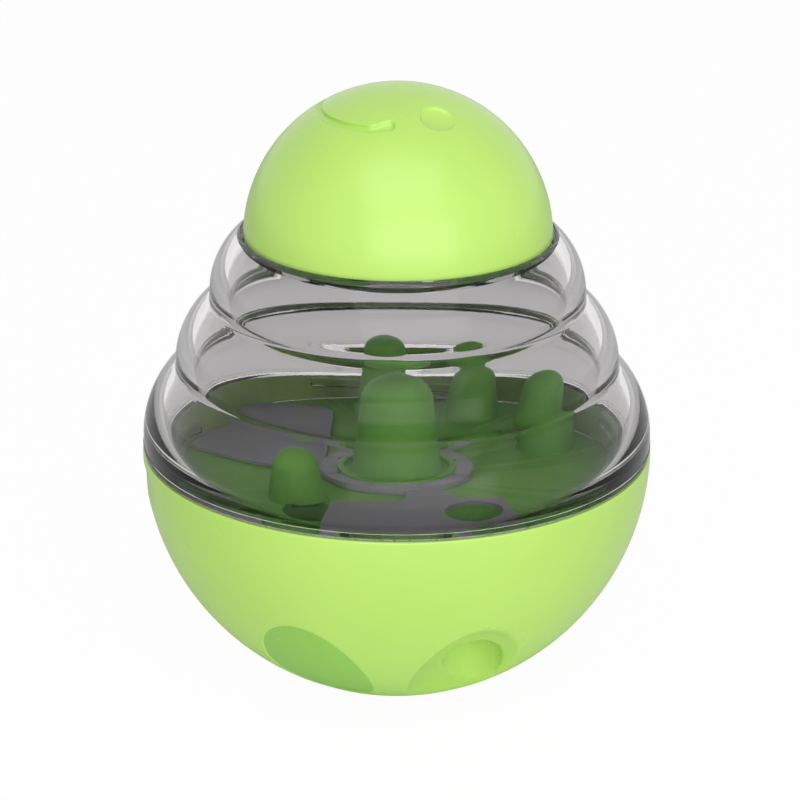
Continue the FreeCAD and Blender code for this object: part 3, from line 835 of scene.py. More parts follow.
@dataclass(frozen=True, kw_only=True)
class ClearPlastic(Finish):
    """Polished clear plastic whose faint smoke deepens with the length of the light's way."""

    smoke: Colour
    density: float
    gloss: Colour

    def paint(self, shader: Shader) -> None:
        """Sets a shader's tint and gloss, and fills it with smoke.

        Args:
            shader: The shader.
        """
        super().paint(shader)
        shader.set(IOR=1.5, Transmission_Weight=1.0, Specular_Tint=(*self.gloss, 1))
        smoke = shader.node("ShaderNodeVolumeAbsorption")
        smoke.inputs["Color"].default_value = (*self.smoke, 1)
        smoke.inputs["Density"].default_value = self.density
        shader.link(smoke.outputs["Volume"], shader.output.inputs["Volume"])


# Each plastic's edge colour is a painted highlight on its raised edges.
LIGHT_GREEN = MouldedPlastic(
    name="light_green_gloss", colour=(0.550, 0.870, 0.165), patch_colour=(0.520, 0.840, 0.150),
    edge_highlight_colour=(0.62, 0.90, 0.27), roughness=(0.27, 0.33), coat=0.12)
DEEP_GREEN = MouldedPlastic(
    name="deep_green_satin", colour=(0.195, 0.510, 0.080), patch_colour=(0.170, 0.460, 0.070),
    edge_highlight_colour=(0.30, 0.60, 0.15), roughness=(0.42, 0.55), gloss=0.22)
PLUG_GREEN = MouldedPlastic(
    name="plug_green_satin", colour=(0.330, 0.680, 0.095), patch_colour=(0.305, 0.640, 0.088),
    edge_highlight_colour=(0.44, 0.76, 0.17), roughness=(0.30, 0.40), coat=0.05)
GREY = MouldedPlastic(
    name="grey_satin", colour=(0.350, 0.345, 0.370), patch_colour=(0.320, 0.315, 0.340),
    edge_highlight_colour=(0.45, 0.45, 0.47), roughness=(0.42, 0.55), gloss=0.22)
CLEAR = ClearPlastic(
    name="smoky_clear", colour=(0.90, 0.885, 0.89), smoke=(0.52, 0.50, 0.505), density=18.0,
    gloss=(0.22, 0.22, 0.22), marks=Noise(scale=160.0, detail=6.0, band=(0.45, 0.75)),
    roughness=(0.0, 0.035),
    reliefs=((Noise(scale=26.0, detail=1.0), 2.5e-5),
             (Noise(scale=900.0, detail=2.0, stretch=(1, 1, 6)), 8e-7)))
RUBBER = PatchedFinish(
    name="seal_rubber", colour=(0.012, 0.012, 0.012), patch_colour=(0.035, 0.035, 0.034),
    patches=Noise(scale=420.0, detail=6.0, band=(0.45, 0.8)), patch_share=0.6,
    marks=Noise(scale=300.0, detail=3.0), roughness=(0.5, 0.75),
    reliefs=((Noise(scale=3200.0, detail=3.0), 1.2e-5),), sockets=(("IOR", 1.52),))
MILKY = PatchedFinish(
    name="milky_silicone", colour=(0.55, 0.55, 0.56), patch_colour=(0.865, 0.865, 0.868),
    patches=Noise(scale=300.0, detail=3.0), marks=Noise(scale=500.0, detail=3.0),
    roughness=(0.25, 0.4), reliefs=((Noise(scale=1800.0, detail=2.0), 4e-6),),
    sockets=(("IOR", 1.41), ("Transmission_Weight", 0.6)))
IRON = PatchedFinish(
    name="cast_iron", colour=(0.10, 0.10, 0.105), patch_colour=(0.09, 0.035, 0.015),
    patches=Noise(scale=260.0, detail=6.0, band=(0.6, 0.72)),
    marks=Noise(scale=500.0, detail=4.0), roughness=(0.5, 0.8),
    reliefs=((Noise(scale=900.0, detail=6.0), 8e-5), (Noise(scale=3000.0, detail=3.0), 2e-5)),
    sockets=(("Metallic", 0.85),))
STEEL = PatchedFinish(
    name="zinc_steel", colour=(0.62, 0.62, 0.60), patch_colour=(0.50, 0.50, 0.49),
    patches=Noise(scale=700.0, detail=4.0),
    marks=Noise(scale=900.0, detail=3.0, stretch=(1, 1, 12)), roughness=(0.22, 0.42),
    reliefs=((Noise(scale=2200.0, detail=2.0, stretch=(1, 1, 10)), 5e-6),),
    sockets=(("Metallic", 1.0),))


# Sub-assemblies
@dataclass(frozen=True)
class Outlets:
    """Oval dishes in the bowl's skin, with the upright throats that open into them."""

    half_angle: float = 23.4
    polar: float = 46.0
    half_width: float = 11.8
    half_length: float = 18.2
    depth: float = 5.6
    centre_rise: float = 1.2
    wall: float = 2.0
    edge_blend: float = 1.1
    chute_inset: float = 5.0
    chute_side: float = 4.0
    bore_radius: float = 6.6
    lip: float = 0.5
    chute_wall: float = 1.4
    throat_wall: float = 1.6
    seat_depth: float = 3.0
    top_below_rim: float = 22.0

    def axes(self, side: Side) -> tuple[Vector, Vector, Vector]:
        """Directions at an outlet's middle.

        Args:
            side: Which outlet.

        Returns:
            The sideways, upward and outward directions.
        """
        azimuth = math.radians(-90 + side.value * self.half_angle)
        polar = math.radians(self.polar)
        outward = Vector((math.sin(polar) * math.cos(azimuth),
                          math.sin(polar) * math.sin(azimuth), -math.cos(polar)))
        sideways = Vector((-math.sin(azimuth), math.cos(azimuth), 0))
        return sideways, outward.cross(sideways), outward

    def reaches(self, offset: float) -> Vector:
        """Half axes of the ellipsoid that makes a dish.

        Args:
            offset: How far it is grown.

        Returns:
            The half axes along the dish's own directions.
        """
        rise = BALL.radius + self.centre_rise
        deep = self.depth + self.centre_rise

        def reach(half: float) -> float:
            """Half axis that cuts the ball's skin at a half width."""
            drop = (sphere_height(BALL.radius, half) - rise) / deep
            return half / math.sqrt(1 - drop**2)

        return Vector((reach(self.half_width) + offset, reach(self.half_length) + offset,
                       deep + offset))

    def centre(self, side: Side) -> Vector:
        """Centre of a dish's ellipsoid."""
        outward = self.axes(side)[2]
        return Vector((0, 0, BALL.rim_z)) + outward * (BALL.radius + self.centre_rise)

    def turned_into(self, side: Side, vector: Vector) -> Vector:
        """A direction as its parts along a dish's own axes."""
        return Vector([vector.dot(axis) for axis in self.axes(side)])

    def entry(self, side: Side, direction: Vector, offset: float = 0.0) -> float | None:
        """Distance from the ball's centre at which a ray enters a dish's ellipsoid.

        Args:
            side: Which outlet.
            direction: Unit direction of the ray.
            offset: How far the ellipsoid is grown.

        Returns:
            The distance in millimetres, or None where the ray misses.
        """
        sizes = self.reaches(offset)
        ray = self.turned_into(side, direction)
        start = self.turned_into(side, Vector((0, 0, BALL.rim_z)) - self.centre(side))
        ray = Vector([a / b for a, b in zip(ray, sizes)])
        start = Vector([a / b for a, b in zip(start, sizes)])
        square, half = ray.length_squared, ray.dot(start)
        inside = half**2 - square * (start.length_squared - 1)
        if inside < 0:
            return None
        return (-half - math.sqrt(inside)) / square

    def chute_place(self, side: Side) -> Vector:
        """Where a chute's upright axis crosses the floor.

        Args:
            side: Which outlet.

        Returns:
            The place.
        """
        azimuth = -90 + side.value * self.half_angle
        reach = BALL.radius * math.sin(math.radians(self.polar)) - self.chute_inset
        return at(reach, azimuth, 0) + at(side.value * self.chute_side, azimuth + 90, 0)

    def dish_mesh(self, side: Side, offset: float, round_it: int = 96,
                  along: int = 64) -> Mesh:
        """The ellipsoid of a dish.

        Args:
            side: Which outlet.
            offset: How far the ellipsoid is grown.
            round_it: Number of faces round it.
            along: Number of faces along it.

        Returns:
            The mesh.
        """
        bm = bmesh.new()
        bmesh.ops.create_uvsphere(bm, u_segments=round_it, v_segments=along, radius=1.0)
        bmesh.ops.scale(bm, verts=bm.verts, vec=self.reaches(offset) * MM)
        turn = Matrix(self.axes(side)).transposed()
        bmesh.ops.rotate(bm, verts=bm.verts, cent=(0, 0, 0), matrix=turn)
        bmesh.ops.translate(bm, verts=bm.verts, vec=self.centre(side) * MM)
        return bm


OUTLETS = Outlets()


@dataclass
class Bowl:
    """Light-green base shell."""

    rim_edge: float = 0.4
    ledge_width: float = 2.4
    ledge_height: float = 1.6
    notch_azimuth: float = 192.0
    notch_width: float = 20.0
    notch_height: float = 8.0
    notch_depth: float = 1.3
    notch_below_rim: float = 6.0
    notch_round: float = 0.75
    weight_screws: int = 3
    boss_radius: float = 2.4
    boss_gap: float = 12.7
    boss_rise: float = 9.3
    screw_depth: float = 3.7
    hair: float = 0.01
    hollow_spacing: float = 3.0

    @property
    def boss_top(self) -> float:
        """Height of the bosses' tops."""
        return BALL.rim_z - BALL.bowl_radius + self.boss_rise

    @property
    def throat_top(self) -> float:
        """Height of the throats' tops."""
        return BALL.rim_z - OUTLETS.top_below_rim

    @property
    def seat_radius(self) -> float:
        """Radius of a chute's seat in its throat."""
        return OUTLETS.bore_radius + OUTLETS.chute_wall + BALL.loose

    def skin_profile(self) -> list[Point]:
        """Section of the bowl's outside, fine where the dishes and notches are.

        Returns:
            The points, from the foot to the rim.
        """
        bands = ((9.0, 24.0, 12), (24.0, 70.0, 96), (70.0, 89.0, 40))
        points: list[Point] = [(0.0, 0.0), (BALL.foot_radius, 0.0)]
        first = math.degrees(math.asin(BALL.foot_radius / BALL.radius))
        for low, high, steps in bands:
            low = max(low, first)
            points += [
                polar_point((0, BALL.rim_z), BALL.radius, low + (high - low) * k / steps - 90)
                for k in range(1, steps + 1)
            ]
        points.append((BALL.radius - self.hair, BALL.rim_z - self.rim_edge))
        corner = (BALL.radius - self.rim_edge, BALL.rim_z - self.rim_edge)
        points += [polar_point(corner, self.rim_edge, angle) for angle in (30, 60, 90)]
        points.append((0.0, BALL.rim_z))
        return points

    def skin_radius(self, direction: Vector) -> float:
        """How far the skin, with its dishes, is from the ball's centre.

        Args:
            direction: Unit direction from the centre.

        Returns:
            The distance in millimetres.
        """
        radius = BALL.radius
        for side in Side:
            entry = OUTLETS.entry(side, direction)
            if entry is not None:
                radius = soft_min(radius, entry, OUTLETS.edge_blend)
        return radius

    def notch_drop(self, place: Vector) -> float:
        """How deep the thumb notches are.

        Args:
            place: Place on the skin.

        Returns:
            The depth there, 0 outside the notches.
        """
        azimuth = math.degrees(math.atan2(place.y, place.x))
        for middle in (self.notch_azimuth, self.notch_azimuth + 180):
            aside = math.radians(math.remainder(azimuth - middle, 360)) * BALL.radius
            above = place.z - BALL.rim_z + self.notch_below_rim
            q = (2 * aside / self.notch_width) ** 2 + (2 * above / self.notch_height) ** 2
            if q < 1:
                return self.notch_depth * (1 - q) ** self.notch_round
        return 0.0

    def outside(self) -> Mesh:
        """The bowl's outside with its dishes, lips and thumb notches.

        Returns:
            A closed mesh, without the hollow.
        """
        sectors = ((100, 210), (38, 19), (28, 40), (152, 76), (28, 40), (14, 7))
        bm = spun(self.skin_profile(), sectors, start=-140.0)
        centre = Vector((0, 0, BALL.rim_z))
        skin = BALL.radius - SKIN_DEPTH
        for vert in bm.verts:
            place = vert.co / MM
            arm = place - centre
            if arm.length < skin or place.z < self.hair:
                continue
            direction = arm.normalized()
            drop = BALL.radius - self.skin_radius(direction) + self.notch_drop(place)
            if drop > LEAST_MOVE:
                vert.co = (place - direction * drop) * MM
        self.round_lips(bm)
        return bm

    def round_lips(self, bm: Mesh) -> None:
        """Rounds the skin over into each throat before its bore is cut.

        Args:
            bm: The bowl's outside, which is changed.
        """
        lip = OUTLETS.lip
        for side in Side:
            axis = OUTLETS.chute_place(side) * MM
            for vert in bm.verts:
                if vert.co.z > BALL.tray_bottom * MM / 2:
                    continue
                gap = math.hypot(vert.co.x - axis.x, vert.co.y - axis.y) / MM
                past = min(max(gap - OUTLETS.bore_radius, 0.0), lip)
                if past < lip:
                    vert.co.z += (lip - sphere_height(lip, lip - past)) * MM

    def room(self) -> Mesh:
        """The bowl's hollow, with the tray's ledge standing in it.

        Returns:
            A closed mesh that is cut from the outside.
        """
        middle = (0.0, BALL.rim_z)
        inner = BALL.tray_radius - self.ledge_width
        ledge_bottom = BALL.tray_bottom - self.ledge_height
        bottom = (0.0, BALL.rim_z - BALL.bowl_radius)

        def on_bowl(z: float) -> Point:
            """Section point on the inner skin at a height."""
            return (sphere_height(BALL.bowl_radius, BALL.rim_z - z), z)

        root = on_bowl(ledge_bottom - self.ledge_width)
        edge = on_bowl(BALL.tray_bottom)
        foot = (BALL.bore_radius, BALL.rim_z - sphere_height(BALL.bowl_radius, BALL.bore_radius))
        top = BALL.rim_z + OVERCUT
        points = [bottom]
        points += arc_points(middle, BALL.bowl_radius, bottom, root, self.hollow_spacing)
        points += [(inner, ledge_bottom), (inner, BALL.tray_bottom), edge, foot]
        points += [(BALL.bore_radius, top), (0.0, top)]
        return spun(points, ((360.0, 144),))

    def boss_places(self) -> list[Vector]:
        """Where the weight cover's screws go.

        Returns:
            One place for each screw.
        """
        step = 360 / self.weight_screws
        circle = OUTLETS.chute_place(Side.RIGHT).length - self.boss_gap
        return [at(circle, 90 + index * step, 0) for index in range(self.weight_screws)]

    def standing(self) -> list[Mesh]:
        """What is left standing in the hollow.

        Returns:
            Keys, bosses, dish walls, throats and thread ridges.
        """
        low = Vector((BALL.tray_radius - BALL.key_depth + BALL.loose,
                      BALL.loose - BALL.key_width / 2, BALL.tray_bottom - BALL.loose))
        high = Vector((BALL.radius + OVERCUT, BALL.key_width / 2 - BALL.loose, BALL.tray_top))
        solids = blocks_round(low, high, BALL.key_count)
        for place in self.boss_places():
            solids.append(cylinder_mesh(self.boss_radius, 0, self.boss_top, place,
                                        segments=32))
        for side in Side:
            solids.append(OUTLETS.dish_mesh(side, OUTLETS.wall))
            solids.append(cylinder_mesh(self.seat_radius + OUTLETS.throat_wall, 0,
                                        self.throat_top, OUTLETS.chute_place(side)))
        middle_z = BALL.rim_z - RIM_THREAD.height / 2 - BALL.loose
        return solids + RIM_THREAD.ridges(BALL.bore_radius, middle_z, False)

    def bores(self) -> list[Mesh]:
        """What is drilled through everything.

        Returns:
            Throats, chute seats and screw holes.
        """
        top = self.throat_top
        solids = []
        for side in Side:
            place = OUTLETS.chute_place(side)
            solids.append(cylinder_mesh(OUTLETS.bore_radius, -OVERCUT, top + OVERCUT, place))
            solids.append(cylinder_mesh(self.seat_radius, top - OUTLETS.seat_depth,
                                        top + OVERCUT, place))
        for place in self.boss_places():
            solids.append(cylinder_mesh(BALL.pilot_radius, self.boss_top - self.screw_depth,
                                        self.boss_top + OVERCUT, place, segments=24))
        return solids

    def make(self) -> list[Piece]:
        """Builds and dresses the bowl.

        Returns:
            The bowl.
        """
        room = joined(self.room(), each(Join.CUT, self.standing()))
        shell = joined(self.outside(), each(Join.CUT, [room, *self.bores()]))
        return [finished(shell, "bowl", LIGHT_GREEN, "base", ["base_shell"])]


@dataclass
class OutletPlug:
    """Deeper green insert that fills the left dish, with its stem up the throat."""

    face_inset: float = 0.25
    clearance: float = 0.15
    edge_blend: float = 0.7
    stem_radius: float = 6.2
    stem_rise: float = 8.0
    ring_section: float = 0.9
    edge_round: float = 0.2

    def stem_bottom(self) -> float:
        """Height inside the face from which the stem rises."""
        outward = OUTLETS.axes(Side.LEFT)[2]
        return BALL.rim_z + outward.z * (BALL.radius - OUTLETS.depth / 2)

    def face(self) -> Mesh:
        """The part of the dish's ellipsoid inside the ball's skin, with its edge rounded.

        Returns:
            The mesh.
        """
        bm = OUTLETS.dish_mesh(Side.LEFT, -self.clearance, round_it=160, along=112)
        centre = Vector((0, 0, BALL.rim_z))
        skin = BALL.radius - self.face_inset
        for vert in bm.verts:
            arm = vert.co / MM - centre
            reach = soft_min(arm.length, skin, self.edge_blend)
            vert.co = (centre + arm.normalized() * reach) * MM
        bmesh.ops.recalc_face_normals(bm, faces=bm.faces)
        return bm

    def stem(self) -> Mesh:
        """Stem with a groove for its ring and a rounded top.

        Returns:
            The mesh.
        """
        low, high = self.stem_bottom(), self.stem_bottom() + self.stem_rise
        groove = high - 2 * self.ring_section
        deep = self.stem_radius - self.ring_section
        points = [(0, low), (self.stem_radius, low),
                  (self.stem_radius, groove - self.ring_section),
                  (deep, groove - self.ring_section), (deep, groove + self.ring_section),
                  (self.stem_radius, groove + self.ring_section), (self.stem_radius, high),
                  (0, high)]
        bm = spun(points, ((360.0, 96),))
        soften(bm, self.edge_round)
        bmesh.ops.translate(bm, verts=bm.verts, vec=OUTLETS.chute_place(Side.LEFT) * MM)
        return bm

    def make(self) -> list[Piece]:
        """Builds and dresses the plug.

        Returns:
            The plug.
        """
        plug = joined(self.face(), each(Join.ADD, [self.stem()]))
        return [finished(plug, "outlet_insert", PLUG_GREEN, "plug",
                         ["outlet_plug"])]


@dataclass
class BulgedShell:
    """Clear shell of three bulges, with a flange and skirt below and a neck above."""

    bulge_wall: float = 4.0
    skirt_blend: float = 30.0
    flange_inset: float = 0.1
    flange_height: float = 1.1
    skirt_depth: float = 7.5
    valley_fillet: float = 0.8
    spacing: float = 0.8
    edge_round: float = 0.25
    bulges: tuple[Triple, ...] = (
        (0.2, 20.8, 3.4),
        (7.7, 17.6, 20.4),
        (15.5, 17.3, 36.7),
    )

    def wall_line(self, offset: float, start_z: float, end_z: float | None = None,
                  end_r: float | None = None) -> list[Point]:
        """Points up the bulged wall, with its valleys filleted.

        Args:
            offset: How far the line is drawn in from the outside.
            start_z: Height of its first point.
            end_z: Height of its last point, or None.
            end_r: Radius of its last point, used where end_z is None.

        Returns:
            The points, lowest first.
        """
        arcs = [((BALL.radius - inset - arc, BALL.rim_z + height), arc - offset)
                for inset, arc, height in self.bulges]
        fillet = self.valley_fillet + offset
        (middle, radius) = arcs[0]
        points = [(middle[0] + sphere_height(radius, start_z - middle[1]), start_z)]
        for (low, low_radius), (high, high_radius) in zip(arcs, arcs[1:]):
            hollow = circle_meeting(low, low_radius + fillet, high, high_radius + fillet)
            leave = towards(low, hollow, low_radius)
            land = towards(high, hollow, high_radius)
            points += arc_points(low, low_radius, points[-1], leave, self.spacing)
            points += arc_points(hollow, fillet, leave, land, self.spacing / 3)
        (middle, radius) = arcs[-1]
        if end_z is None:
            last = (end_r, middle[1] + sphere_height(radius, end_r - middle[0]))
        else:
            last = (middle[0] + sphere_height(radius, end_z - middle[1]), end_z)
        return points + arc_points(middle, radius, points[-1], last, self.spacing)

    def blend(self, root: Point) -> tuple[Point, float, float]:
        """Arc from the skirt's bore that runs smoothly into the low bulge's inner arc.

        Args:
            root: Top of the skirt's bore.

        Returns:
            The arc's centre and radius, and the height where it meets the bulge's arc.
        """
        inset, arc, height = self.bulges[0]
        middle = Vector((BALL.radius - inset - arc, BALL.rim_z + height))
        radius = arc - self.bulge_wall
        across = Vector(polar_point((0, 0), 1.0, self.skirt_blend))
        reach = Vector(root) - middle
        shift = (radius**2 - reach.length_squared) / (2 * (radius - reach.dot(across)))
        return tuple(middle + shift * across), radius - shift, middle.y + radius * across.y

    def section(self) -> list[Point]:
        """Closed section of the shell.

        Returns:
            The points, from the skirt's inner edge round and back.
        """
        skirt_bottom = BALL.rim_z - self.skirt_depth
        flange_radius = BALL.radius - self.flange_inset
        flange_top = BALL.flange_bottom + self.flange_height
        lip = BALL.head_radius + 2 * BALL.loose
        inner_skirt = BALL.skirt_radius - BALL.shell_wall
        neck_bore = BALL.neck_radius - BALL.shell_wall
        outside = self.wall_line(0, flange_top, end_r=lip)
        skirt_top = (inner_skirt, BALL.flange_bottom)
        blend_middle, blend_radius, blend_z = self.blend(skirt_top)
        inside = self.wall_line(self.bulge_wall, blend_z, end_z=BALL.ledge - BALL.shell_wall)
        points = [(inner_skirt, skirt_bottom), (BALL.skirt_radius, skirt_bottom),
                  (BALL.skirt_radius, BALL.flange_bottom), (flange_radius, BALL.flange_bottom),
                  (flange_radius, flange_top)]
        points += outside
        points += [(lip, BALL.ledge), (BALL.neck_radius, BALL.ledge),
                   (BALL.neck_radius, BALL.neck_top), (neck_bore, BALL.neck_top),
                   (neck_bore, BALL.ledge - BALL.shell_wall)]
        points += reversed(inside)
        points += arc_points(blend_middle, blend_radius, inside[0], skirt_top, self.spacing)
        return points

    def ridges(self) -> list[Mesh]:
        """Thread ridges on the skirt and on the neck.

        Returns:
            The ridges.
        """
        pitch = BALL.ridge_thickness + BALL.sliding
        rim_z = BALL.rim_z - RIM_THREAD.height / 2 - BALL.loose - pitch
        neck_z = BALL.neck_top - NECK_THREAD.height / 2 - BALL.loose
        return (RIM_THREAD.ridges(BALL.skirt_radius, rim_z, True)
                + NECK_THREAD.ridges(BALL.neck_radius, neck_z, True))

    def make(self) -> list[Piece]:
        """Builds and dresses the clear shell.

        Returns:
            The shell.
        """
        body = spun(self.section(), ((360.0, 240),), closed=True)
        soften(body, self.edge_round, angle=50.0)
        shell = joined(body, each(Join.ADD, self.ridges()))
        return [finished(shell, "bulged_shell", CLEAR, "clear_shell",
                         ["clear_shell"], smooth_angle=30.0)]


@dataclass
class MazeTray:
    """Green floor with hollow bullet-shaped posts and drop holes."""

    edge_round: float = 0.25
    post_radius: float = 7.0
    post_taper: float = 1.8
    post_wall: float = 1.6
    post_foot: float = 0.8
    posts: tuple[Triple, ...] = (
        (23.0, 226.4, 15.2),
        (13.8, 31.5, 18.7),
        (15.0, 64.0, 17.6),
        (15.0, 96.4, 18.7),
    )
    hub_radius: float = 9.0
    dial_turn: float = 25.0

    def bullet(self, radius: float, height: float, bottom: float, foot: float,
               place: Vector) -> Mesh:
        """Post with a tapering wall, a domed top and a fillet at its foot.

        Args:
            radius: Radius of its wall at the bottom.
            height: Its height.
            bottom: Height that it starts at.
            foot: Radius of the fillet at its foot, or 0.
            place: Where its axis stands.

        Returns:
            The mesh.
        """
        dome = radius - self.post_taper
        shoulder = bottom + height - dome
        points = [(0.0, bottom), (radius + foot, bottom)]
        if foot > 0:
            corner = (radius + foot, bottom + foot)
            points += [polar_point(corner, foot, angle) for angle in (-112, -135, -158, -180)]
        bm = spun(points + dome_points(dome, shoulder), ((360.0, 72),))
        bmesh.ops.translate(bm, verts=bm.verts, vec=place * MM)
        return bm

    def cuts(self) -> list[Mesh]:
        """What is cut from the tray.

        Returns:
            The stem's hole, the drop holes, the key slots and the pin's slot.
        """
        below, above = BALL.tray_bottom - OVERCUT, BALL.tray_top + OVERCUT
        solids = [cylinder_mesh(BALL.stem_radius + BALL.running, below - BALL.hub_height, above)]
        for side in Side:
            solids.append(cylinder_mesh(OUTLETS.bore_radius, below, above,
                                        OUTLETS.chute_place(side)))
        low = Vector((BALL.tray_radius - BALL.key_depth, -BALL.key_width / 2, below))
        solids += blocks_round(low, Vector((BALL.radius, BALL.key_width / 2, above)),
                               BALL.key_count)
        half = BALL.pin_radius + BALL.loose
        slot = slot_outline(BALL.pin_circle - half, BALL.pin_circle + half,
                            BALL.pin_azimuth, BALL.pin_azimuth + self.dial_turn)
        return solids + [slab_mesh(slot, below, above)]

    def make(self) -> list[Piece]:
        """Builds and dresses the tray.

        Returns:
            The tray.
        """
        low, high = BALL.tray_bottom, BALL.tray_top
        solids = [cylinder_mesh(self.hub_radius, low - BALL.hub_height, low + OVERLAP)]
        hollows = []
        for from_edge, azimuth, height in self.posts:
            place = at(BALL.tray_radius - from_edge, azimuth, 0)
            solids.append(self.bullet(self.post_radius, height + OVERLAP, high - OVERLAP,
                                      self.post_foot, place))
            hollow = BALL.tray_thickness + height - self.post_wall
            hollows.append(self.bullet(self.post_radius - self.post_wall, hollow + OVERCUT,
                                       low - OVERCUT, 0, place))
        floor = rounded_disc(BALL.tray_radius, low, high, steps=192, edge=self.edge_round)
        tray = joined(floor, each(Join.ADD, solids) + each(Join.CUT, hollows + self.cuts()))
        return [finished(tray, "maze_floor", DEEP_GREEN, "base",
                         ["maze_tray"], smooth_angle=35.0)]


@dataclass
class Dial:
    """Grey plate with two wings, a hub ring and notches, and the post that turns it."""

    thickness: float = 1.6
    end_gap: float = 1.1
    front_azimuth: float = -84.0
    front_start: float = 24.3
    front_right: float = 21.3
    front_left: float = 16.3
    front_splay: float = 13.0
    front_corner: float = 0.8
    bar_azimuth: float = -69.5
    bar_sweep: float = 25.8
    bar_fillet: float = 2.8
    rear_side: float = 16.3
    rear_back: float = 37.0
    rear_front: float = 3.4
    rear_slant: float = 19.0
    rear_corner: float = 5.0
    hub_ring_radius: float = 17.4
    hub_ring_rise: float = 1.0
    hub_bore: float = 13.5
    notch_count: int = 8
    notch_width: float = 1.2
    notch_depth: float = 0.8
    edge_round: float = 0.3
    knob_radius: float = 10.0
    knob_height: float = 25.2
    knob_taper: float = 1.7
    dish_height: float = 2.4
    knob_fillet: float = 1.0
    knob_edge: float = 0.2
    dish_lip: float = 1.6
    screw_room: float = 6.9

    @property
    def bottom(self) -> float:
        """Height of the plate's underside."""
        return BALL.tray_top + BALL.sliding

    @property
    def top(self) -> float:
        """Height of the plate's upper face."""
        return self.bottom + self.thickness

    @property
    def seat(self) -> float:
        """Height of the knob's dish."""
        return self.bottom + self.thickness / 2 + BALL.seat

    @property
    def reach(self) -> float:
        """Radius of the circle that the wings end at."""
        return BALL.skirt_radius - BALL.shell_wall - self.end_gap

    @property
    def ring_top(self) -> float:
        """Height of the hub ring's upper face."""
        return self.top + self.hub_ring_rise

    def wing(self, corners: Sequence[Triple], azimuth: float) -> Mesh:
        """Flat wing, cut off by the circle inside the skirt.

        Args:
            corners: Each corner's two coordinates and the radius of its rounding.
            azimuth: Degrees that the wing is turned.

        Returns:
            The mesh.
        """
        slab = slab_mesh(rounded_outline(corners), self.bottom, self.top, azimuth)
        disc = cylinder_mesh(self.reach, self.bottom - OVERCUT, self.top + OVERCUT, segments=240)
        bm = joined(slab, each(Join.KEEP, [disc]))
        bmesh.ops.dissolve_limit(bm, angle_limit=math.radians(0.1), verts=bm.verts,
                                 edges=bm.edges)
        soften(bm, self.edge_round)
        return bm

    def front(self) -> Mesh:
        """Wing over the outlets, splayed outwards, with the bar that joins it to the hub.

        Returns:
            The mesh.
        """
        far = self.front_start + self.reach
        spread = self.reach * math.tan(math.radians(self.front_splay))
        low = math.radians(self.bar_azimuth - self.bar_sweep / 2 - self.front_azimuth)
        high = math.radians(self.bar_azimuth + self.bar_sweep / 2 - self.front_azimuth)
        root = self.hub_bore + OVERCUT
        start = self.front_start
        corners = [
            (root * math.cos(low), root * math.sin(low), 0.0),
            (start, start * math.tan(low), self.bar_fillet),
            (start, -self.front_left, self.front_corner),
            (far, -self.front_left - spread, 0.0),
            (far, self.front_right + spread, 0.0),
            (start, self.front_right, self.front_corner),
            (start, start * math.tan(high), self.bar_fillet),
            (root * math.cos(high), root * math.sin(high), 0.0),
        ]
        return self.wing(corners, self.front_azimuth)

    def rear(self) -> Mesh:
        """Wing that covers the floor behind and to the left of the hub.

        Returns:
            The mesh.
        """
        far = self.rear_side + self.reach
        drop = self.reach * math.tan(math.radians(self.rear_slant))
        corners = [(-self.rear_side, self.rear_back, self.rear_corner),
                   (-far, self.rear_back, 0.0), (-far, drop - self.rear_front, 0.0),
                   (-self.rear_side, -self.rear_front, 0.0)]
        return self.wing(corners, 0.0)

    def plate(self) -> Piece:
        """Builds and dresses the plate.

        Returns:
            The plate.
        """
        below, above = self.bottom - OVERCUT, self.ring_top + OVERCUT
        hub = rounded_disc(self.hub_ring_radius, self.bottom, self.ring_top, steps=144,
                           edge=self.edge_round)
        pin = cylinder_mesh(BALL.pin_radius, BALL.tray_bottom, self.bottom + OVERLAP,
                            at(BALL.pin_circle, BALL.pin_azimuth, 0), segments=32)
        low = Vector((self.hub_bore - self.notch_depth, -self.notch_width / 2, self.top))
        high = Vector((self.hub_bore + self.notch_depth, self.notch_width / 2, above))
        cuts = [
            cylinder_mesh(self.hub_bore, self.bottom + self.thickness / 2, above, segments=144),
            cylinder_mesh(BALL.stem_radius + BALL.seat, below, self.ring_top),
            cylinder_mesh(OUTLETS.bore_radius, below, self.top + OVERCUT,
                          OUTLETS.chute_place(Side.RIGHT)),
            *blocks_round(low, high, self.notch_count),
        ]
        bm = joined(hub, each(Join.ADD, [self.front(), self.rear(), pin]) + each(Join.CUT, cuts))
        return finished(bm, "shutter_plate", GREY, "dial", ["dial_plate"],
                        smooth_angle=35.0)

    def knob(self) -> Piece:
        """Builds and dresses the post, its dish and its stem.

        Returns:
            The post.
        """
        dish = self.hub_bore - BALL.running
        dish_top = self.seat + self.dish_height
        valley = dish_top - self.dish_height / 2
        stem_bottom = BALL.tray_bottom - BALL.hub_height - BALL.seat
        dome = self.knob_radius - self.knob_taper
        corner = (self.knob_radius + self.knob_fillet, valley + self.knob_fillet)
        points = [(0.0, stem_bottom), (BALL.stem_radius, stem_bottom),
                  (BALL.stem_radius, self.seat), (dish, self.seat), (dish, dish_top),
                  (dish - self.dish_lip, dish_top), (dish - self.dish_lip, valley)]
        points += [polar_point(corner, self.knob_fillet, angle)
                   for angle in (-90, -120, -150, -180)]
        points += dome_points(dome, self.seat + self.knob_height - dome)
        bm = spun(points, ((360.0, 120),))
        soften(bm, self.knob_edge, angle=50.0)
        pilot = cylinder_mesh(BALL.pilot_radius, stem_bottom - OVERCUT,
                              stem_bottom + self.screw_room, segments=24)
        bm = joined(bm, each(Join.CUT, [pilot]))
        return finished(bm, "shutter_post", DEEP_GREEN, "dial", ["dial_knob"],
                        smooth_angle=35.0)

    def make(self) -> list[Piece]:
        """Builds both pieces."""
        return [self.plate(), self.knob()]


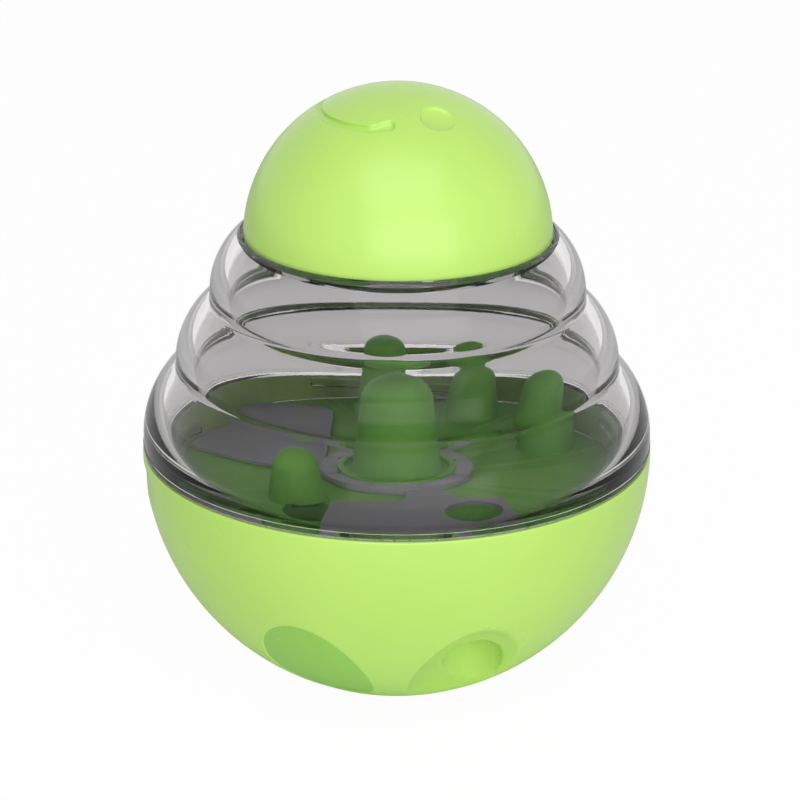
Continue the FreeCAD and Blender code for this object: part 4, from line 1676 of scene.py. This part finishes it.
@dataclass
class HeadDome:
    """Light-green dome with a smile groove and two eye dimples."""

    rim_rise: float = 0.6
    rim_edge: float = 0.35
    smile_polar: float = 31.0
    smile_half_sweep: float = 85.0
    smile_half_width: float = 0.8
    smile_flare: float = 0.6
    smile_lift: float = 1.5
    smile_flare_start: float = 68.0
    smile_depth: float = 1.0
    smile_stretch: float = 1.4
    smile_floor: float = 0.75
    face_polar: float = 46.0
    face_sweep: float = 90.0
    eye_azimuth: float = 54.8
    eye_polar: float = 26.0
    eye_radius: float = 3.8
    eye_depth: float = 1.2
    eye_floor: float = 0.35
    lip: float = 0.25
    inner_spacing: float = 2.5

    @property
    def centre_z(self) -> float:
        """Height of the dome's centre."""
        return BALL.head_rim - self.rim_rise

    def pocket(self, gap: float, half: float, depth: float, floor: float) -> float:
        """Depth of a round-bottomed pocket with a crisp edge.

        Args:
            gap: Distance from its middle or middle line.
            half: Half its width.
            depth: Its greatest depth.
            floor: Share of the depth that its wall has.

        Returns:
            The depth there.
        """
        wall = smooth_step((half + self.lip - gap) / (2 * self.lip))
        return depth * wall * (floor + (1 - floor) * max(1 - (gap / half) ** 2, 0.0))

    def smile(self, polar: float, from_middle: float) -> float:
        """Depth of the smile's groove, whose ends are wider and lift.

        Args:
            polar: Angle from the dome's top in degrees.
            from_middle: Angle about the dome's axis from the groove's middle.

        Returns:
            The depth there.
        """
        flare = (from_middle - self.smile_flare_start) / (self.smile_half_sweep
                                                          - self.smile_flare_start)
        half = self.smile_half_width + self.smile_flare * smooth_step(flare)
        across = math.radians(polar - self.smile_polar) * BALL.head_radius
        across += self.smile_lift * smooth_step(flare)
        beyond = math.radians(max(from_middle - self.smile_half_sweep, 0.0))
        along = beyond * BALL.head_radius * math.sin(math.radians(polar))
        gap = math.hypot(across, self.smile_stretch * along)
        return self.pocket(gap, half, self.smile_depth, self.smile_floor)

    def drop(self, direction: Vector) -> float:
        """How deep the face's lines are.

        Args:
            direction: Unit direction from the dome's centre.

        Returns:
            The depth along it.
        """
        polar = math.degrees(math.acos(min(max(direction.z, -1.0), 1.0)))
        azimuth = math.degrees(math.atan2(direction.y, direction.x))
        if polar > self.face_polar:
            return 0.0
        from_middle = abs(math.remainder(azimuth - 180, 360))
        deepest = self.smile(polar, from_middle) if from_middle <= self.face_sweep else 0.0
        tilt = math.radians(self.eye_polar)
        for side in (-1, 1):
            middle = at(math.sin(tilt), side * self.eye_azimuth, math.cos(tilt))
            gap = direction.angle(middle) * BALL.head_radius
            deepest = max(deepest, self.pocket(gap, self.eye_radius, self.eye_depth,
                                               self.eye_floor))
        return deepest

    def section(self) -> list[Point]:
        """Section of the dome, fine where the face is and coarse inside.

        Returns:
            The points, from the top of the outside to the top of the inside.
        """
        middle = (0.0, self.centre_z)
        outer, inner = BALL.head_radius, BALL.head_radius - BALL.head_wall
        bands = ((0.0, 18.0, 9), (18.0, 36.0, 60), (36.0, 88.0, 40))
        points = [(0.0, self.centre_z + outer)]
        for low, high, steps in bands:
            points += [polar_point(middle, outer, 90 - low - (high - low) * k / steps)
                       for k in range(1, steps + 1)]
        edge = self.rim_edge
        corner = (sphere_height(outer, self.rim_rise) - edge, BALL.head_rim + edge)
        points += [polar_point(corner, edge, angle) for angle in (0, -30, -60, -90)]
        inner_rim = (sphere_height(inner, self.rim_rise), BALL.head_rim)
        points.append((inner_rim[0] + edge, BALL.head_rim))
        points.append(inner_rim)
        points += arc_points(middle, inner, inner_rim, (0.0, self.centre_z + inner),
                             self.inner_spacing)
        return points

    def make(self) -> list[Piece]:
        """Builds and dresses the dome.

        Returns:
            The dome.
        """
        bm = spun(self.section(), ((360.0, 400),))
        centre = Vector((0, 0, self.centre_z))
        for vert in bm.verts:
            arm = vert.co / MM - centre
            if arm.length > BALL.head_radius - SKIN_DEPTH:
                drop = self.drop(arm.normalized())
                if drop > LEAST_MOVE:
                    vert.co = (centre + arm - arm.normalized() * drop) * MM
        return [finished(bm, "dome", LIGHT_GREEN, "head", ["head_cap"])]


@dataclass
class Seals:
    """Flat seal under the clear shell's flange and the one under the dome."""

    rim_width: float = 1.9
    neck_width: float = 1.5
    edge_round: float = 0.12

    def ring(self, inner: float, width: float, bottom: float, thickness: float) -> Mesh:
        """Flat ring with rounded edges.

        Args:
            inner: Radius of its hole.
            width: Its width.
            bottom: Height of its underside.
            thickness: Its thickness.

        Returns:
            The mesh.
        """
        outer, top = inner + width, bottom + thickness
        bm = spun([(inner, bottom), (outer, bottom), (outer, top), (inner, top)],
                  ((360.0, 180),), closed=True)
        soften(bm, self.edge_round)
        return bm

    def make(self) -> list[Piece]:
        """Builds and dresses both seals.

        Returns:
            The seals.
        """
        rim = self.ring(BALL.bore_radius + BALL.loose, self.rim_width,
                        BALL.rim_z + BALL.seat, BALL.seal_thickness)
        neck = self.ring(BALL.head_radius - BALL.head_wall, self.neck_width,
                         BALL.ledge + BALL.seat, BALL.neck_seal_thickness)
        return [
            finished(rim, "flange_seal", MILKY, "rim_seal", ["rim_seal"]),
            finished(neck, "head_seal", MILKY, "neck_seal", ["neck_seal"]),
        ]


@dataclass
class HiddenWorks:
    """CAD pieces that stay as they are and only get their finish."""

    finishes: tuple[tuple[str, Finish], ...] = (
        ("plug_ring", RUBBER),
        ("left_chute", DEEP_GREEN),
        ("right_chute", DEEP_GREEN),
        ("weight_pad", RUBBER),
        ("counterweight", IRON),
        ("weight_cover", GREY),
        ("weight_screws", STEEL),
        ("click_spring", STEEL),
        ("dial_washer", STEEL),
        ("dial_screw", STEEL),
        ("head_collar", LIGHT_GREEN),
        ("head_liner", GREY),
    )

    def make(self) -> list[Piece]:
        """Puts each finish on its CAD node.

        Returns:
            The nodes.
        """
        for node, finish in self.finishes:
            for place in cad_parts[node].material_slots:
                place.material = finish.material()
        return [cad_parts[node] for node, _ in self.finishes]


@dataclass(frozen=True)
class Lamp:
    """Soft rectangular lamp, with its place and size in metres and its power in watts."""

    name: str
    place: Triple
    size: Point
    power: float

    def light(self, target: Vector) -> None:
        """Adds the lamp to the scene.

        Args:
            target: Where it points.
        """
        data = bpy.data.lights.new(self.name, "AREA")
        data.shape = "RECTANGLE"
        data.size, data.size_y = self.size
        data.energy = self.power
        place = Vector(self.place)
        aim = (place - target).to_track_quat("Z", "Y").to_matrix().to_4x4()
        placed(self.name, data).matrix_world = Matrix.Translation(place) @ aim


@dataclass
class Studio:
    """Pale floor, soft lamps and the camera at the photograph's viewing angle."""

    azimuth: float = 1.721
    elevation: float = 19.899
    distance: float = 731.57
    target_z: float = 82.66
    pitch: float = -1.145
    yaw: float = -0.052
    roll: float = 0.37
    focal_px: float = 3259.9
    image_px: float = 800.0
    sensor: float = 36.0
    clip: Point = (0.05, 20.0)
    floor_size: float = 3.0
    floor_grey: float = 0.92
    floor_share: float = 0.97
    fill: float = 0.37
    lamp_target: Triple = (0.0, 0.0, 0.07)
    lamps: tuple[Lamp, ...] = (
        Lamp("high", (0.08, -0.60, 1.0), (1.1, 0.8), 4.4),
        Lamp("front", (0.36, -1.5, 0.50), (2.0, 0.9), 11.5),
    )

    def camera(self) -> None:
        """Adds the camera at the photograph's viewing angle and framing."""
        data = bpy.data.cameras.new("camera")
        data.sensor_width = self.sensor
        data.lens = self.focal_px / self.image_px * self.sensor
        data.clip_start, data.clip_end = self.clip
        turn, lift = math.radians(self.azimuth), math.radians(self.elevation)
        back = Vector((math.sin(turn) * math.cos(lift), -math.cos(turn) * math.cos(lift),
                       math.sin(lift)))
        place = Vector((0, 0, self.target_z)) + back * self.distance
        pose = Matrix.Translation(place * MM) @ back.to_track_quat("Z", "Y").to_matrix().to_4x4()
        for angle, axis in ((self.pitch, "X"), (self.yaw, "Y"), (self.roll, "Z")):
            pose = pose @ Matrix.Rotation(math.radians(angle), 4, axis)
        camera = placed("camera", data)
        camera.matrix_world = pose
        bpy.context.scene.camera = camera

    def floor(self) -> None:
        """Adds the pale floor, which keeps the object's shadow."""
        bm = bmesh.new()
        bmesh.ops.create_grid(bm, x_segments=1, y_segments=1, size=self.floor_size / 2)
        floor = mesh_object(bm, "floor")
        shader = Shader("floor_paper")
        shader.set(Base_Color=(*[self.floor_grey] * 3, 1), Roughness=0.9)
        path = shader.node("ShaderNodeLightPath")
        glow = shader.node("ShaderNodeEmission")
        glow.inputs["Strength"].default_value = 1.0
        mix = shader.node("ShaderNodeMixShader")
        seen = shader.node("ShaderNodeMath", operation="MULTIPLY")
        seen.inputs[1].default_value = self.floor_share
        shader.link(path.outputs["Is Camera Ray"], seen.inputs[0])
        shader.link(seen.outputs[0], mix.inputs["Fac"])
        shader.link(shader.surface.outputs["BSDF"], mix.inputs[1])
        shader.link(glow.outputs["Emission"], mix.inputs[2])
        shader.link(mix.outputs["Shader"], shader.output.inputs["Surface"])
        floor.data.materials.append(shader.data)

    def world(self) -> None:
        """Sets a white backdrop that camera, gloss and clear plastic see, and a softer fill."""
        world = bpy.data.worlds.new("studio")
        bpy.context.scene.world = world
        world.use_nodes = True
        nodes = Nodes(world.node_tree)
        background = nodes.tree.nodes["Background"]
        background.inputs["Color"].default_value = (1, 1, 1, 1)
        path = nodes.node("ShaderNodeLightPath").outputs
        seen = path["Is Camera Ray"]
        for operation, name in (("MAXIMUM", "Is Glossy Ray"), ("MAXIMUM", "Is Transmission Ray"),
                                ("SUBTRACT", "Diffuse Depth")):
            step = nodes.node("ShaderNodeMath", operation=operation, use_clamp=True)
            nodes.link(seen, step.inputs[0])
            nodes.link(path[name], step.inputs[1])
            seen = step.outputs[0]
        strength = nodes.ramp(seen, (0.0, 1.0), (self.fill, 1.0))
        nodes.link(strength, background.inputs["Strength"])

    def build(self) -> None:
        """Adds everything that isn't the object."""
        self.floor()
        self.world()
        for lamp in self.lamps:
            lamp.light(Vector(self.lamp_target))
        self.camera()
        bpy.context.scene.view_settings.view_transform = "Standard"


def main() -> None:
    """Builds every sub-assembly in order and reports its pieces, then adds the studio."""
    logging.basicConfig(level=logging.INFO, format="%(name)s %(message)s")
    for assembly in (Bowl(), OutletPlug(), MazeTray(), Dial(), BulgedShell(), HeadDome(),
                     Seals(), HiddenWorks()):
        for piece in assembly.make():
            log.info("%s: %d faces", piece.name, len(piece.data.polygons))
    Studio().build()


if __name__ == "__main__":
    main()
